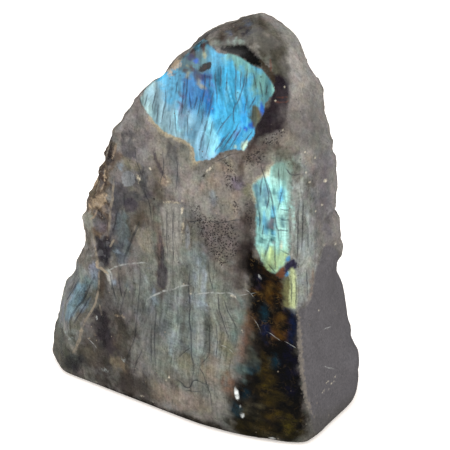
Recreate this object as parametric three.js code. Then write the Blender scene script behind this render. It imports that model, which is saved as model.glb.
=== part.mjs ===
// A freestanding labradorite chunk: one stone with a hand-polished front, a ground right side,
// a sawn flat foot, and a natural broken back and left edge.
// Millimetres, +Z up. The origin is the middle of the stone's box, on the surface it stands on.
// -Y is the polished front, +X the ground side.
import * as THREE from "three";

// ---- Driving dimensions -------------------------------------------------------------------
const HEIGHT = 180; // foot to crest
const CREST = new THREE.Vector3(17, 12, HEIGHT); // the highest point
const FRONT_LEAN = 10; // degrees that the polished front leans back
const FOOT_ROUNDING = 4.5; // width of the worn edge round the foot

const LEVELS = 76; // sections between foot and crest
const STATIONS = 62; // points round a section
const FINE_STEPS = 540; // rays that a section is first measured with
const SPINE_BEND = 40; // height where the line that the sections are measured from starts to lean
const SPINE_CURVE = 1.2; // how much later it leans back than right
const FURTHEST = 120; // further from the spine than any of the stone
const HALVINGS = 24; // the search for the surface is halved this often
const CORNER_PULL = 20; // mm of outline that a full radian of turning counts as
const EVEN_OUT = 3; // sections above and below that share their spacing
const FOOT_LEVELS = [0.01, 0.12, 0.45]; // the lowest sections, as shares of the foot's rounding
const TOP_GAP = 0.1; // between the highest section and the crown point
const CREST_PULL = 0.36; // how much closer the sections stand near the crest
const RELIEF_FROM = 14; // the natural relief fades in from the foot to here
const RELIEF_FADE = [138, 166]; // and mostly fades out between these heights
const RELIEF_AT_CREST = 0.2; // the share of it that is left at the crest

const rad = THREE.MathUtils.degToRad;
const smoothstep = THREE.MathUtils.smoothstep;

// ---- The faces that the stone was broken, sawn and ground to -------------------------------
// azimuth: the way that a face looks, 0 to the front and 90 to the right. lean: how far it looks up.
// through: a point on it. blend: width of the rounding between it and the faces listed before it.
// rough: how much of the natural relief it keeps, from 0 to 1.
const FACES = [
  { name: "front", azimuth: -4, lean: FRONT_LEAN, through: [-12, -36.6, 0], blend: 0, rough: 0 },
  { name: "front_turn", azimuth: 27, lean: 12, through: [57, -34.2, 0], blend: 18, rough: 0 },
  { name: "ground_side", azimuth: 81, lean: 9, through: [74, 8, 0], blend: 5, rough: 0 },
  { name: "left_bevel", azimuth: -38, lean: 14.7, through: [-66, -32.5, 5], blend: 2, rough: 0.35 },
  { name: "left_edge", azimuth: -88, lean: 16.7, through: [-79.6, -17, 10], blend: 3, rough: 0.7 },
  { name: "left_slope", azimuth: -86, lean: 30.5, through: [-44.6, -14, 118], blend: 4, rough: 0.5 },
  { name: "left_shoulder", azimuth: -84, lean: 46, through: [-17.5, 0, 156.4], blend: 4, rough: 0.35 },
  { name: "left_brow", azimuth: -72, lean: 57, through: [0, 0, 174.2], blend: 5, rough: 0.1 },
  { name: "crest_left", azimuth: -50, lean: 69, through: [13, 0, 177.4], blend: 4, rough: 0 },
  { name: "brow", azimuth: 2, lean: 46, through: [12, -4, 171.4], blend: 10, rough: 0 },
  { name: "shoulder", azimuth: 84, lean: 30, through: [46.8, 22, 154], blend: 12, rough: 0 },
  { name: "crown", azimuth: 78, lean: 58, through: [19, 22, 182.2], blend: 6, rough: 0 },
  { name: "rear_right", azimuth: 105, lean: 9.4, through: [72.6, 22, 0], blend: 2, rough: 0.7 },
  { name: "back_high", azimuth: 170, lean: 7, through: [18, 31, 100], blend: 5, rough: 1 },
  { name: "back_low", azimuth: 186, lean: 0, through: [10, 34, 30], blend: 4, rough: 1 },
  { name: "rear_left", azimuth: 232, lean: 12, through: [-64, 28, 0], blend: 5, rough: 1 },
  { name: "rear_cap", azimuth: 195, lean: 50, through: [13, 23, 178], blend: 6, rough: 0.2 },
  { name: "foot", azimuth: 0, lean: -90, through: [0, 0, 0], blend: FOOT_ROUNDING, rough: 0 },
];
for (const face of FACES) {
  face.normal = facing(face.azimuth, face.lean);
  face.reach = face.normal.dot(new THREE.Vector3(...face.through));
}

// The unit direction that looks to an azimuth, and up by a lean.
function facing(azimuth, lean) {
  const level = Math.cos(rad(lean));
  const x = Math.sin(rad(azimuth)) * level;
  const y = -Math.cos(rad(azimuth)) * level;
  return new THREE.Vector3(x, y, Math.sin(rad(lean)));
}

// The larger of two distances, with the crease between them rounded over a width.
function roundedMax(a, b, width) {
  const overlap = width > 0 ? Math.max(width - Math.abs(a - b), 0) / width : 0;
  return Math.max(a, b) + (overlap * overlap * width) / 4;
}

// Distance from the stone before its smaller relief: negative inside it.
function bodyDistance(p) {
  let distance = -Infinity;
  for (const face of FACES) {
    const toFace = face.normal.dot(p) - face.reach;
    distance = distance === -Infinity ? toFace : roundedMax(distance, toFace, face.blend);
  }
  return distance;
}

const SHARED_EDGE = 1.4; // width over which two faces share their natural relief

// How much natural relief a point of the surface keeps: that of its own face, shared near an edge.
function roughnessAt(p) {
  let rough = 0;
  let total = 0;
  for (const face of FACES) {
    const share = Math.exp((face.normal.dot(p) - face.reach) / SHARED_EDGE);
    rough += share * face.rough;
    total += share;
  }
  return rough / total;
}

// ---- The blade: a pillow of stone along the lower left edge, parted from the front by a crease ----
const BLADE = {
  middle: new THREE.Vector3(-58, -26, 41),
  halfWidth: 11.5,
  halfLength: 34,
  lean: 12, // degrees that it leans right
  rise: 3, // how far it stands above the front
  backEnd: [-10, 12], // it fades out between these depths
};
const bladeAlong = new THREE.Vector3(Math.sin(rad(BLADE.lean)), 0, Math.cos(rad(BLADE.lean)));
const bladeAcross = new THREE.Vector3(Math.cos(rad(BLADE.lean)), 0, -Math.sin(rad(BLADE.lean)));

function bladeAt(p) {
  const local = p.clone().sub(BLADE.middle);
  const across = Math.max(local.dot(bladeAcross), 0) / BLADE.halfWidth;
  const along = local.dot(bladeAlong) / BLADE.halfLength;
  const towardsFront = 1 - smoothstep(p.y, ...BLADE.backEnd);
  return BLADE.rise * towardsFront * Math.sqrt(Math.max(1 - across ** 2 - along ** 2, 0));
}

// ---- The knapped edges: rows of knobs parted by sharp notches -------------------------------
// low and high: two points that the edge runs through. knobs: from, to and reach give the heights
// between which a knob stands, and how far it stands out.
const KNAPPED_EDGES = [
  {
    name: "right_rear",
    low: new THREE.Vector3(75, 21, 0),
    high: new THREE.Vector3(53, 13, 140),
    knobs: [
      { from: 3, to: 15, reach: 0.8 },
      { from: 15, to: 26, reach: 2.8 },
      { from: 26, to: 39, reach: 1.8 },
      { from: 71, to: 77, reach: 2.8 },
      { from: 77, to: 81, reach: 2.6 },
      { from: 81, to: 94, reach: 2.4 },
      { from: 94, to: 100, reach: 1.6 },
      { from: 100, to: 115, reach: 1.8 },
      { from: 115, to: 123, reach: 2.4 },
      { from: 123, to: 130.5, reach: 2.2 },
      { from: 130.5, to: 138.5, reach: 2 },
      { from: 138.5, to: 158, reach: 1.6 },
    ],
  },
  {
    name: "left",
    low: new THREE.Vector3(-79, -18, 20),
    high: new THREE.Vector3(-50, -2, 117),
    knobs: [
      { from: 2, to: 22, reach: 2.6 },
      { from: 73, to: 82, reach: 3.4 },
      { from: 82, to: 97, reach: 0.8 },
      { from: 97, to: 111, reach: 1 },
      { from: 111, to: 128, reach: 1.2 },
    ],
  },
];
const KNOB_FULL = 4; // a knob keeps its reach this near to the edge
const KNOB_GONE = 16; // and has faded out here

function knobsAt(p) {
  let reach = 0;
  for (const { low, high, knobs } of KNAPPED_EDGES) {
    const knob = knobs.find(({ from, to }) => p.z > from && p.z < to);
    if (!knob) continue;
    const fromMiddle = (2 * (p.z - knob.from)) / (knob.to - knob.from) - 1;
    const edge = low.clone().lerp(high, (p.z - low.z) / (high.z - low.z));
    const fade = 1 - smoothstep(p.distanceTo(edge), KNOB_FULL, KNOB_GONE);
    reach += knob.reach * fade * Math.sqrt(1 - fromMiddle ** 2);
  }
  return reach;
}

// ---- Scars: the shallow hollows that flakes left where the stone was broken ----------------
const SCAR_RIM = 0.8; // width of the rounding at a scar's rim

// azimuth and height: where a scar is. span and depth: its width and how deep it bites.
const SCARS = [
  { azimuth: 152, height: 126, span: 50, depth: 4 },
  { azimuth: 184, height: 78, span: 64, depth: 4.5 },
  { azimuth: 216, height: 122, span: 44, depth: 4 },
  { azimuth: 150, height: 38, span: 52, depth: 4 },
  { azimuth: 228, height: 46, span: 48, depth: 4.5 },
  { azimuth: -82, height: 66, span: 24, depth: 4 },
  { azimuth: -84, height: 151, span: 20, depth: 3 },
  { azimuth: 102, height: 60, span: 26, depth: 1.6 },
];

for (const scar of SCARS) {
  const centre = spine(scar.height);
  const direction = facing(scar.azimuth, 0);
  const onSurface = direction.multiplyScalar(reachAt(bodyDistance, centre, direction)).add(centre);
  scar.radius = scar.span ** 2 / (8 * scar.depth) + scar.depth / 2;
  scar.ball = onSurface.addScaledVector(normalAt(onSurface), scar.radius - scar.depth);
}

// The way that the smooth stone's surface looks at a point.
function normalAt(p) {
  const step = 0.5;
  const slope = (axis) => {
    const forward = p.clone();
    const back = p.clone();
    forward[axis] += step;
    back[axis] -= step;
    return bodyDistance(forward) - bodyDistance(back);
  };
  return new THREE.Vector3(slope("x"), slope("y"), slope("z")).normalize();
}

// ---- Relief of a broken face ----------------------------------------------------------------
// A repeatable number from 0 to 1 for one cell of a grid.
function cellNumber(x, y, z) {
  const mixed = Math.imul(x, 374761393) + Math.imul(y, 668265263) + Math.imul(z, 1440662683);
  const folded = Math.imul(mixed ^ (mixed >>> 13), 1274126177);
  return ((folded ^ (folded >>> 16)) >>> 0) / 2 ** 32;
}

// Smooth unevenness from -1 to 1, with lumps of a given size.
function grain(p, size) {
  const scaled = [p.x / size, p.y / size, p.z / size];
  const cell = scaled.map(Math.floor);
  const [u, v, w] = scaled.map((value, i) => smoothstep(value - cell[i], 0, 1));
  let sum = 0;
  for (let corner = 0; corner < 8; corner++) {
    const dx = corner & 1;
    const dy = (corner >> 1) & 1;
    const dz = corner >> 2;
    const share = (dx ? u : 1 - u) * (dy ? v : 1 - v) * (dz ? w : 1 - w);
    sum += share * cellNumber(cell[0] + dx, cell[1] + dy, cell[2] + dz);
  }
  return sum * 2 - 1;
}

// A broken face parts along flat patches. Each stands out or back by its own amount, and is
// tilted its own way.
const PATCH_SIZE = 21;
const PATCH_STEP = 1.7; // the furthest that a patch stands out or back
const PATCH_TILT = 0.2; // the steepest that it is tilted
const PATCH_EDGE = 2.4; // width of the step between two patches
const LUMP_SIZE = 7; // the smaller unevenness within a patch
const LUMP_RISE = 0.6; // and how far it stands out or back

function patchAt(p) {
  const cell = p.clone().divideScalar(PATCH_SIZE).floor();
  const seed = new THREE.Vector3();
  let relief = 0;
  let total = 0;
  for (let i = 0; i < 27; i++) {
    const x = cell.x + (i % 3) - 1;
    const y = cell.y + (Math.floor(i / 3) % 3) - 1;
    const z = cell.z + Math.floor(i / 9) - 1;
    const random = (channel) => cellNumber(x + 57 * channel, y - 31 * channel, z);
    seed.set(x + random(1), y + random(2), z + random(3)).multiplyScalar(PATCH_SIZE);
    const share = Math.exp(-p.distanceTo(seed) / PATCH_EDGE);
    const across = (random(4) - 0.5) * (p.x - seed.x) + (random(5) - 0.5) * (p.y - seed.y);
    const tilted = 2 * PATCH_TILT * (across + (random(6) - 0.5) * (p.z - seed.z));
    relief += share * (tilted + PATCH_STEP * (2 * random(7) - 1));
    total += share;
  }
  return relief / total;
}

// Distance from the finished stone: negative inside it.
function stoneDistance(p) {
  let distance = bodyDistance(p);
  const fadedIn = smoothstep(p.z, 0, RELIEF_FROM);
  const fadedOut = (1 - RELIEF_AT_CREST) * smoothstep(p.z, ...RELIEF_FADE);
  const relief = patchAt(p) + LUMP_RISE * grain(p, LUMP_SIZE);
  distance -= roughnessAt(p) * fadedIn * (1 - fadedOut) * relief;
  distance -= knobsAt(p) + bladeAt(p);
  for (const scar of SCARS) {
    distance = roundedMax(distance, scar.radius - p.distanceTo(scar.ball), SCAR_RIM);
  }
  return distance;
}

// ---- Sections -----------------------------------------------------------------------------
// The line that the sections are measured from: upright over the middle of the foot, then leaning
// to the crest.
function spine(z) {
  const share = Math.max(z - SPINE_BEND, 0) / (HEIGHT - SPINE_BEND);
  return new THREE.Vector3(CREST.x * share, CREST.y * share ** SPINE_CURVE, z);
}

// How far the stone reaches from a point inside it, in one direction: found by halving.
function reachAt(distance, centre, direction) {
  let inside = 0;
  let outside = FURTHEST;
  const p = new THREE.Vector3();
  for (let i = 0; i < HALVINGS; i++) {
    const middle = (inside + outside) / 2;
    p.copy(direction).multiplyScalar(middle).add(centre);
    if (distance(p) < 0) inside = middle;
    else outside = middle;
  }
  return (inside + outside) / 2;
}

// How closely the stations stand on a smooth face, and what a rough one and the blade add.
const DETAIL = { smooth: 0.6, rough: 0.8, blade: 1.8, bladeEnd: BLADE.halfLength * 1.3 };

function detailAt(p) {
  const offBlade = smoothstep(p.distanceTo(BLADE.middle), BLADE.halfWidth, DETAIL.bladeEnd);
  return DETAIL.smooth + DETAIL.rough * roughnessAt(p) + DETAIL.blade * (1 - offBlade);
}

// Azimuths for the stations of one section: spaced by the detail, and closer where the outline turns.
function stationAzimuths(z) {
  const centre = spine(z);
  const outline = [];
  for (let i = 0; i < FINE_STEPS; i++) {
    const direction = facing((i / FINE_STEPS) * 360, 0);
    const reach = reachAt(bodyDistance, centre, direction);
    outline.push(direction.multiplyScalar(reach).add(centre));
  }
  const travelled = [0];
  for (let i = 0; i < FINE_STEPS; i++) {
    const here = outline[(i + 1) % FINE_STEPS].clone().sub(outline[i]);
    const last = outline[i].clone().sub(outline[(i + FINE_STEPS - 1) % FINE_STEPS]);
    const spread = here.length() * detailAt(outline[i]) + CORNER_PULL * here.angleTo(last);
    travelled.push(travelled[i] + spread);
  }
  const azimuths = [];
  let i = 0;
  for (let k = 0; k < STATIONS; k++) {
    const wanted = (travelled[FINE_STEPS] * k) / STATIONS;
    while (travelled[i + 1] < wanted) i++;
    const share = (wanted - travelled[i]) / (travelled[i + 1] - travelled[i]);
    azimuths.push(((i + share) / FINE_STEPS) * 360);
  }
  return azimuths;
}

// The height where the spine leaves the stone.
function topHeight() {
  let low = HEIGHT / 2;
  let high = HEIGHT * 1.2;
  for (let i = 0; i < HALVINGS; i++) {
    const middle = (low + high) / 2;
    if (bodyDistance(spine(middle)) < 0) low = middle;
    else high = middle;
  }
  return low;
}

// Heights of the sections: closer where the foot and the crest round over.
function sectionHeights() {
  const heights = FOOT_LEVELS.map((share) => share * FOOT_ROUNDING);
  const top = topHeight() - TOP_GAP;
  const steps = LEVELS - heights.length;
  for (let i = 0; i <= steps; i++) {
    const share = i / steps;
    const eased = share + CREST_PULL * share * (1 - share);
    heights.push(FOOT_ROUNDING + (top - FOOT_ROUNDING) * eased);
  }
  return heights;
}

function stoneGeometry() {
  const heights = sectionHeights();
  const spacings = heights.map(stationAzimuths);
  const positions = [];
  for (const [level, z] of heights.entries()) {
    const centre = spine(z);
    const near = spacings.slice(Math.max(level - EVEN_OUT, 0), level + EVEN_OUT + 1);
    for (let k = 0; k < STATIONS; k++) {
      const azimuth = near.reduce((sum, spacing) => sum + spacing[k], 0) / near.length;
      const direction = facing(azimuth, 0);
      const reach = reachAt(stoneDistance, centre, direction);
      positions.push(...direction.multiplyScalar(reach).add(centre).toArray());
    }
  }
  for (let k = 0; k < STATIONS; k++) {
    positions[3 * k + 2] = 0;
  }
  const footMiddle = positions.length / 3;
  positions.push(...spine(0).toArray());
  const crown = footMiddle + 1;
  positions.push(...spine(topHeight()).toArray());
  const index = [];
  for (let k = 0; k < STATIONS; k++) {
    const next = (k + 1) % STATIONS;
    for (let i = 0; i < LEVELS; i++) {
      const a = i * STATIONS + k;
      const b = i * STATIONS + next;
      const c = a + STATIONS;
      const d = b + STATIONS;
      index.push(a, b, c, b, d, c);
    }
    index.push(footMiddle, next, k);
    index.push(crown, LEVELS * STATIONS + k, LEVELS * STATIONS + next);
  }
  const geometry = new THREE.BufferGeometry();
  geometry.setAttribute("position", new THREE.Float32BufferAttribute(positions, 3));
  geometry.setIndex(index);
  geometry.computeBoundingBox();
  const middle = geometry.boundingBox.getCenter(new THREE.Vector3());
  geometry.translate(-middle.x, -middle.y, 0);
  geometry.computeVertexNormals();
  return geometry;
}

const stone = new THREE.Mesh(
  stoneGeometry(),
  new THREE.MeshStandardMaterial({ color: 0x4b4a48, roughness: 0.35, metalness: 0 }),
);
stone.name = "labradorite_stone";

const chunk = new THREE.Group();
chunk.add(stone);
export default chunk;
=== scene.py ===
"""A semi-polished labradorite chunk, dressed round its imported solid. Metres, +Z up."""

import math

import bpy
import numpy as np
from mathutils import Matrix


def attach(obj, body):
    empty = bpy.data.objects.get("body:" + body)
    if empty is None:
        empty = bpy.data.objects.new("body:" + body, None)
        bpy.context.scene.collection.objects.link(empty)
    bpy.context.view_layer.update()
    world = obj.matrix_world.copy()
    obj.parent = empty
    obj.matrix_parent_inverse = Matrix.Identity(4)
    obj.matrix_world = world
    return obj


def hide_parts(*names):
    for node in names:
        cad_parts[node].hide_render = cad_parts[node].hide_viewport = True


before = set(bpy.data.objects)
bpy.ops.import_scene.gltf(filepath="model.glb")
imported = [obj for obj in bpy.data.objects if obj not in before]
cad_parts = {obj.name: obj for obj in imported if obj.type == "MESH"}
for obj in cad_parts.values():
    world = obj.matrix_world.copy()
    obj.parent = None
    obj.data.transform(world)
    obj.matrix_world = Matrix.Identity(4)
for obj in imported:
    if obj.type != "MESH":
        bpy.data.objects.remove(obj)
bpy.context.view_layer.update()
bpy.ops.object.select_all(action="DESELECT")

# ---- The chunk -------------------------------------------------------------------------------
# One natural piece of labradorite, sawn flat underneath and standing on the cut. Its surface
# is the solid's own, made finer, and the front edges are cut finer across than the back.

MM = 0.001
FRONT_TURN = math.radians(28.6)  # the markings are laid out square to this direction
to_viewer = np.array([math.sin(FRONT_TURN), -math.cos(FRONT_TURN), 0.0])
SAWN_HEIGHT = 0.5  # mm above the table: below it is the sawn foot
SAME_POINT = 0.01  # mm: corners of the solid closer than this are one
LEVEL_SLOPE = 0.25  # an edge that climbs less than this share of its length runs across
SQUARE_ON = 0.35  # how squarely the front's edges face the viewer, where 1 is straight on

cad_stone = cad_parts["labradorite_stone"]
stone = bpy.data.objects.new("polished_stone", cad_stone.data.copy())
bpy.context.scene.collection.objects.link(stone)
bpy.context.view_layer.objects.active = stone
stone.select_set(True)
stone.data.materials.clear()


def surface(mesh):
    """The mesh's points in mm, and its normals there."""
    points = np.empty(len(mesh.vertices) * 3)
    mesh.vertices.foreach_get("co", points)
    normals = np.empty(len(mesh.vertices) * 3, np.float32)
    mesh.vertex_normals.foreach_get("vector", normals)
    return points.reshape(-1, 3) / MM, normals.reshape(-1, 3).astype(float)


bpy.ops.object.mode_set(mode="EDIT")
bpy.ops.mesh.select_all(action="SELECT")
bpy.ops.mesh.remove_doubles(threshold=SAME_POINT * MM)
bpy.ops.mesh.tris_convert_to_quads(face_threshold=math.pi, shape_threshold=math.pi)
bpy.ops.mesh.select_all(action="DESELECT")
bpy.ops.object.mode_set(mode="OBJECT")

points, normals = surface(stone.data)
facing = normals @ to_viewer
bpy.context.tool_settings.mesh_select_mode = (False, True, False)
for edge in stone.data.edges:
    a, b = edge.vertices
    along = points[b] - points[a]
    level = abs(along[2]) < LEVEL_SLOPE * np.linalg.norm(along)
    at_front = min(facing[a], facing[b]) > SQUARE_ON
    edge.select = bool(level and at_front and points[a][2] > SAWN_HEIGHT)
bpy.ops.object.mode_set(mode="EDIT")
bpy.ops.mesh.subdivide(number_cuts=1)
bpy.ops.mesh.select_all(action="DESELECT")
bpy.ops.object.mode_set(mode="OBJECT")

fine = stone.modifiers.new("fine surface", "SUBSURF")
fine.levels = 2
fine.render_levels = 2
bpy.ops.object.modifier_apply(modifier=fine.name)
bpy.ops.object.shade_smooth()

# ---- Broken and chipped surfaces -------------------------------------------------------------
# The back and the edges were never worked. They keep the lumps, flakes and grain of the break,
# and the polished front has only the slow waves that hand polishing leaves.

FOOT_STARTS, FOOT_CLEAR = 1.5, 6.0  # mm above the table: the relief grows to its full depth here
to_right = np.array([math.cos(FRONT_TURN), math.sin(FRONT_TURN), 0.0])

points, normals = surface(stone.data)
across = points @ to_right
height = points[:, 2]
facing = normals @ to_viewer


def rises(value, low, high):
    """0 below low, 1 above high, and a smooth rise between them."""
    t = np.clip((value - low) / (high - low), 0, 1)
    return t * t * (3 - 2 * t)


def falls(value, low, high):
    """1 below low, 0 above high, and a smooth fall between them."""
    return rises(-value, -high, -low)


def pull_at(u0, z0, wide):
    """How strongly a place across and up pulls on each point: 1 there, and falling off round it."""
    return np.exp(-((across - u0) ** 2 + (height - z0) ** 2) / (2 * wide**2))


def relief(name, weights, kind, size, depth, **settings):
    """Moves the surface in and out by a cloud or cell texture; size and depth are in mm."""
    held = stone.vertex_groups.new(name=name)  # it holds the weights to the nearest tenth
    for tenth in range(1, 11):
        which = np.flatnonzero(np.round(weights * 10) == tenth)
        held.add(which.tolist(), tenth / 10, "REPLACE")
    texture = bpy.data.textures.new(name, kind)
    texture.noise_scale = size * MM
    for key, value in settings.items():
        setattr(texture, key, value)
    push = stone.modifiers.new(name, "DISPLACE")
    push.texture = texture
    push.texture_coords = "LOCAL"
    push.vertex_group = name
    push.strength = depth * MM
    push.mid_level = 0.5
    bpy.ops.object.modifier_apply(modifier=push.name)


# Where hand work or a break took a little more off the outline, or left a little more on it:
# the place across and up, how far round it reaches, and how far it moves across and up, in mm.
TOUCHES = [
    (-15, 158, 6, 0, -3.2), (-4, 166, 6, 0, -1.5), (4, 172, 6, 0, -1.0), (17, 180, 6, 0.6, -3.2),
    (26, 183, 4, 0, 1.2), (-27, 145, 5, -1.6, 0), (-38.4, 127, 2.4, -1.8, 0.6),
    (-42, 119, 6, -0.2, 0), (-50, 97, 6, -0.7, 0), (-54.5, 81, 5, -1.3, 0), (-56, 72, 6, 1.6, -2.6),
    (-65.5, 53, 4, 2.8, -0.6), (58, 124, 5, 1.7, 0), (42, 169, 5, 0.9, 1.2),
    (50, 148, 5, 0.2, -1.0), (59, 114, 4, 1.2, 0), (62, 92, 5, -2.2, 0), (67, 64, 5, -1.7, 0),
    (67, 54, 8, -1.5, 0), (69, 42, 6, -1.2, 0), (74, 33, 6, -1.6, 0), (50, 152, 5, 0.6, -1.0),
]
for u0, z0, wide, outward, upward in TOUCHES:
    pull = pull_at(u0, z0, wide)
    points += np.outer(pull * outward, to_right) + np.outer(pull * upward, (0, 0, 1))
stone.data.vertices.foreach_set("co", (points * MM).ravel())
stone.data.update()

# How far each kind of break takes hold, from its place in mm and from how it faces the viewer.
clear_of_foot = rises(height, FOOT_STARTS, FOOT_CLEAR)
unworked = (1 - rises(facing, -0.25, 0.12)) * clear_of_foot
left_edge = falls(across, -44, -35) * rises(height, 58, 66) * falls(height, 120, 128)
left_edge *= rises(facing, -0.6, -0.2)
right_edge = rises(across, 54, 60) * rises(height, 60, 70) * rises(0.55 - facing, 0, 0.3)
polished_front = rises(facing, 0.1, 0.5) * clear_of_foot * (1 - left_edge)
relief("lumps", unworked, "CLOUDS", 15, 3.0, noise_depth=2)
relief("flakes", unworked, "VORONOI", 9, 2.2)
relief("break_grain", unworked, "CLOUDS", 3.5, 0.9, noise_depth=3)
relief("chips", left_edge, "VORONOI", 5.5, 2.2)
relief("chip_grain", left_edge, "CLOUDS", 2.4, 1.2, noise_depth=2)
relief("scallops", right_edge, "VORONOI", 6, 1.9)
relief("polish_waves", polished_front, "CLOUDS", 24, 0.5, noise_depth=1)

# ---- Where the front is ----------------------------------------------------------------------
# Each point of the surface gets its place on the upright plane that the front faces, across and
# up in mm, so that what shows on the polished faces can be laid out on it. How a point faces the
# viewer stays as it was before the relief.

LEFT_EDGE, SHOULDER = -34, 124  # mm: left of the one and below the other, stains run on round
ROUND_THE_EDGE, TURNED_AWAY = -0.8, -0.05  # facing where the stains end there, and elsewhere

points, _ = surface(stone.data)
across = points @ to_right
height = points[:, 2]
on_left = (across < LEFT_EDGE) & (height < SHOULDER)
on_front = facing > np.where(on_left, ROUND_THE_EDGE, TURNED_AWAY)


def keep(name, values):
    """Writes one number for each point as an attribute that the material reads."""
    store = stone.data.attributes.new(name, "FLOAT", "POINT")
    store.data.foreach_set("value", np.asarray(values, np.float32))


SHUFFLE = np.array([374761393, 668265263, 1274126177])  # large odd numbers, one for each axis
SHUFFLE_AGAIN = 1103515245
LOW_BITS, SIXTEEN_BITS = 0x7FFFFFFF, 0xFFFF
OCTAVE_STEP = 37.0  # cells that each finer layer is moved by, so that no two line up


def clouds(size, octaves=3, rough=0.55, place=None):
    """Soft random values of about the size given in mm, mostly -0.4 to 0.4, the same every time."""
    place = points if place is None else place
    total = np.zeros(len(place))
    weight = 1.0
    weights = 0.0
    for octave in range(octaves):
        grid = place / size * 2**octave + OCTAVE_STEP * octave
        cell = np.floor(grid).astype(np.int64)
        t = grid - cell
        t = t * t * (3 - 2 * t)
        for corner in range(8):
            step = np.array([corner & 1, corner >> 1 & 1, corner >> 2])
            n = (cell + step) @ SHUFFLE
            n = ((n ^ (n >> 13)) * SHUFFLE_AGAIN) & LOW_BITS
            share = np.prod(np.where(step, t, 1 - t), axis=1)
            total += weight * share * (((n >> 7) & SIXTEEN_BITS) / SIXTEEN_BITS - 0.5)
        weights += weight**2
        weight *= rough
    return total / math.sqrt(weights)


# The fibres lean a little here and there: by what slope to the right as they rise, at what
# place across and up, and how far round it, in mm.
LEANS = [
    (0.55, 15, 131, 9), (0.2, -10, 140, 14), (0.3, -37, 40, 20), (-0.25, 30, 106, 9),
    (0.55, -60, 42, 12), (-0.35, 13, 54, 8), (0.2, -34, 74, 12),
]
straight = across.copy()
for lean, u0, z0, wide in LEANS:
    straight -= lean * pull_at(u0, z0, wide) * (height - z0)
keep("across_fibres", straight)

wavy = straight + 3.5 * clouds(26, 2) + 0.8 * clouds(7, 2)


def streaks(wide, tall, layer):
    """Soft random values drawn out along the fibres: wide and tall in mm."""
    flat = np.full(len(across), float(layer))
    return clouds(1, 3, 0.55, np.column_stack([wavy / wide, height / tall, flat]))


fine_streaks = streaks(1.6, 14, 0)
broad_streaks = streaks(3.6, 30, 9)
combing = 0.5 * (fine_streaks + broad_streaks)
ragging = 1.1 * clouds(2.6, 3, 0.6) + 1.5 * clouds(7, 3, 0.6)

# ---- The grey field and its worn waist -------------------------------------------------------
# Most of the front is fibrous grey feldspar, stained and worn. Its colours are laid one over
# another as soft washes: each has its colour, how soft, ragged and combed its edge is, its
# strength, and its shapes as places across and up. All sizes are in mm.

SHEEN = 0.012  # what the polish reflects on top of the colour
LIGHT_LEVEL = 1.3  # how brightly the soft light falls on the front, where 1 shows a colour as it is
COMB_REACH = 7.0  # mm that fully combed fibres carry an edge
OFF = -9.0  # mm: as far outside a shape as is ever written down
FAR = 1e9  # mm: farther than any line
TINY = 1e-9  # stands in for a length or a height of nothing


def eased(outline, closed):
    """An outline with its corners cut twice."""
    line = np.array(outline, float)
    for _ in range(2):
        after = np.roll(line, -1, axis=0) if closed else line[1:]
        before = line if closed else line[:-1]
        cut = np.empty((len(before) * 2, 2))
        cut[0::2] = before * 0.75 + after * 0.25
        cut[1::2] = before * 0.25 + after * 0.75
        line = cut if closed else np.vstack([line[:1], cut, line[-1:]])
    return line


def to_segments(u, z, line, closed):
    """For each point: the distance to the line, its side, and how far along the line it lies."""
    ends = np.roll(line, -1, axis=0) if closed else line[1:]
    starts = line if closed else line[:-1]
    lengths = np.linalg.norm(ends - starts, axis=1)
    run = np.concatenate([[0], np.cumsum(lengths)])
    best = np.full(len(u), FAR)
    side = np.zeros(len(u))
    place = np.zeros(len(u))
    for k, (start, end) in enumerate(zip(starts, ends)):
        du, dz = end - start
        onto = (u - start[0]) * du + (z - start[1]) * dz
        t = np.clip(onto / max(lengths[k] ** 2, TINY), 0, 1)
        apart = np.hypot(u - start[0] - t * du, z - start[1] - t * dz)
        nearer = apart < best
        best[nearer] = apart[nearer]
        turn = du * (z - start[1]) - dz * (u - start[0])
        side[nearer] = np.sign(turn[nearer])
        place[nearer] = (run[k] + t[nearer] * lengths[k]) / run[-1]
    return best, side, place


def near(low, high):
    """The front's points within reach of a box of the marking plane."""
    inside = on_front & (across > low[0] + OFF) & (across < high[0] - OFF)
    return np.flatnonzero(inside & (height > low[1] + OFF) & (height < high[1] - OFF))


def patch(*outline):
    """How far inside a closed outline each point is."""
    line = eased(outline, True)
    depth = np.full(len(across), OFF)
    which = near(line.min(0), line.max(0))
    u, z = across[which], height[which]
    apart, _, _ = to_segments(u, z, line, True)
    odd = np.zeros(len(u), bool)
    for (u0, z0), (u1, z1) in zip(line, np.roll(line, -1, axis=0)):
        spans = (z0 > z) != (z1 > z)
        crossing = u0 + (z - z0) * (u1 - u0) / (z1 - z0 if z1 != z0 else TINY)
        odd ^= spans & (u < crossing)
    depth[which] = np.maximum(np.where(odd, apart, -apart), OFF)
    return depth


def spot(u0, z0, wide, tall=None, lean=0.0):
    """How far inside an oval each point is; lean is its slope to the right as it rises. It is
    round where tall is left out."""
    half = np.array([wide, tall or wide]) / 2
    reach = max(half) * (1 + abs(lean))
    depth = np.full(len(across), OFF)
    which = near((u0 - reach, z0 - reach), (u0 + reach, z0 + reach))
    du = (across[which] - u0 - lean * (height[which] - z0)) / half[0]
    dz = (height[which] - z0) / half[1]
    depth[which] = np.maximum((1 - np.hypot(du, dz)) * min(half), OFF)
    return depth


def stroke(wide, *course):
    """How far inside a tapering stroke each point is."""
    line = eased(course, False)
    depth = np.full(len(across), OFF)
    which = near(line.min(0), line.max(0))
    apart, _, place = to_segments(across[which], height[which], line, False)
    taper = 1 - np.abs(2 * place - 1) ** 3
    depth[which] = np.maximum(wide / 2 * taper - apart, OFF)
    return depth


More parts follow.
